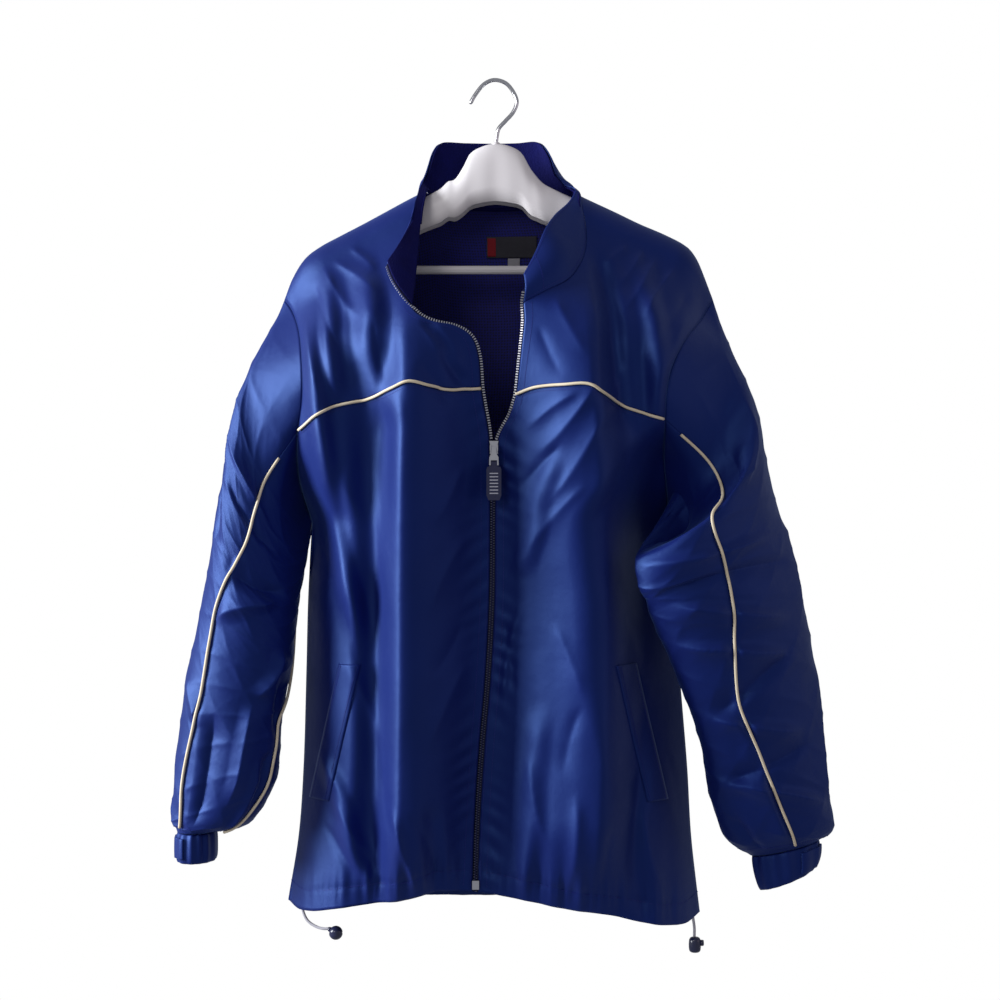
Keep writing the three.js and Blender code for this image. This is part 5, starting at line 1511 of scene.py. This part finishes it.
def stitching():
    for hand in ("right", "left"):
        lower, lower_n = grids["front_" + hand]
        stitch_line("zip_" + hand, inset_column(lower, ZIP_STITCH)[2:], lower_n[2:, 3])
        stitch_line("zip_edge_" + hand, inset_column(lower, EDGE_STITCH)[2:], lower_n[2:, 0])
        yoke, yoke_n = grids["yoke_" + hand]
        rows = crowd_up(FRONT_CELLS, YOKE_ROWS) <= OPENING_CELLS
        stitch_line("opening_" + hand, inset_column(yoke[rows], OPENING_STITCH), yoke_n[rows, 3])
        turned = np.transpose(lower[:, 3:], (1, 0, 2))
        turned_n = np.transpose(lower_n[:, 3:], (1, 0, 2))
        stitch_line("hem_" + hand, inset_column(turned, HEM_BAND), turned_n[:, 7])
        stitch_line("yoke_low_" + hand, inset_column(turned, YOKE_STITCH, True), turned_n[:, -2])
        welt, welt_n = grids["welt_" + hand]
        for edge, column in (("a", 2), ("b", -3)):
            stitch_line("welt_" + edge + "_" + hand, welt[:, column], welt_n[:, column])
        for face in ("front", "back"):
            sleeve_points, sleeve_n = grids["sleeve_" + face + "_" + hand]
            stitch_line("cuff_" + face + "_" + hand, sleeve_points[-12], sleeve_n[-12])
    back, back_n = grids["back"]
    turned = np.transpose(back, (1, 0, 2))
    stitch_line("hem_back", inset_column(turned, HEM_BAND), np.transpose(back_n, (1, 0, 2))[:, 6])
    points, normals = grids["collar"]
    stitch_line("collar_top", points[-3], normals[-3])
    stitch_line("collar_foot", points[3], normals[3])
    for edge, column in (("right", 8), ("left", -9)):
        stitch_line("collar_" + edge, points[3:-3, column], normals[3:-3, column])


stitching()


# Grip bars on the pull tab
GRIP_ROWS = 7
GRIP_BAR = (8.5, 1.1, 0.5)


def grip_bars():
    low, high = (np.array(corner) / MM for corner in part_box("pull_tab"))
    middle = (low + high) / 2
    points = [[middle[0], low[1] - 0.15, z] for z in np.linspace(low[2] + 7, high[2] - 12, GRIP_ROWS)]
    ways = [[1, 0, 0]] * GRIP_ROWS
    ups = [[0, -1, 0]] * GRIP_ROWS
    dress(bars("grip_bars", points, ways, ups, GRIP_BAR, GRIP, "tab"), GRIP, "tab_rubber")


grip_bars()


# Finishes: pieces whose names start so; every other piece is of the shell's nylon
FINISHES = {
    "collar_lining": (TRICOT, "tricot"),
    "back_lining": (MESH, "mesh_lining"),
    "neck_label": (LABEL, "label"),
    "size_tab": (PALE_LABEL, "label"),
    "label_block": (END_BLOCK, "label"),
    "zip_tape": (TAPE, "zip_tape"),
    "piping": (PIPING, "piping"),
    "hook": (CHROME, "hook_chrome"),
    "hanger": (HANGER, "hanger_plastic"),
}
KEPT_SOLIDS = {
    "hanger_bar": (HANGER, "hanger_plastic"),
    "zip_slider": (STEEL, "zip_metal"),
    "slider_cheek_right": (STEEL, "zip_metal"),
    "slider_cheek_left": (STEEL, "zip_metal"),
    "zip_puller": (STEEL, "zip_metal"),
    "pull_tab": (TAB, "tab_rubber"),
}


def paint_all():
    for name, obj in pieces.items():
        found = [finish for start, finish in FINISHES.items() if name.startswith(start)]
        dress(obj, *(found[0] if found else (NYLON, "shell_nylon")))
    for hand in ("right", "left"):
        dress(cords["cord_" + hand], CORD, "elastic_cord")
        for obj in toggles[hand]:
            dress(obj, TOGGLE, "toggle_plastic")
    for name, finish in KEPT_SOLIDS.items():
        dress(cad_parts[name], *finish)


paint_all()


# Light: a broad soft lamp from the left and a weak one from the right
def lamp(name, place, target, size, power, colour):
    light = bpy.data.lights.new(name, "AREA")
    light.shape = "RECTANGLE"
    light.size, light.size_y = size
    light.energy = power
    light.color = colour
    obj = bpy.data.objects.new(name, light)
    obj.location = place
    way = np.array(target) - np.array(place)
    flat = math.hypot(way[0], way[1])
    obj.rotation_euler = (math.atan2(flat, -way[2]), 0, math.atan2(-way[0], way[1]))
    bpy.context.collection.objects.link(obj)


def surroundings():
    """Lamps, and a white field that only the camera sees as bright."""
    middle = (0.0, 0.0, -0.45)
    lamp("left lamp", (-2.6, -0.55, 0.15), middle, (0.9, 1.9), 150, (0.93, 0.97, 1.0))
    lamp("front lamp", (-1.4, -2.5, 0.7), middle, (1.0, 1.0), 14, (1.0, 0.98, 0.97))
    lamp("right lamp", (2.2, -0.9, -0.2), middle, (0.8, 1.2), 2.5, (1.0, 0.75, 0.9))
    world = bpy.data.worlds.new("surroundings")
    world.use_nodes = True
    tree = world.node_tree
    dim = tree.nodes["Background"]
    dim.inputs["Color"].default_value = (0.92, 0.94, 1.0, 1)
    dim.inputs["Strength"].default_value = 0.3
    white = tree.nodes.new("ShaderNodeBackground")
    white.inputs["Color"].default_value = (1, 1, 1, 1)
    seen = tree.nodes.new("ShaderNodeLightPath")
    choose = tree.nodes.new("ShaderNodeMixShader")
    tree.links.new(seen.outputs["Is Camera Ray"], choose.inputs["Fac"])
    tree.links.new(dim.outputs["Background"], choose.inputs[1])
    tree.links.new(white.outputs["Background"], choose.inputs[2])
    tree.links.new(choose.outputs["Shader"], tree.nodes["World Output"].inputs["Surface"])
    scene = bpy.context.scene
    scene.world = world
    scene.view_settings.view_transform = "Standard"


surroundings()
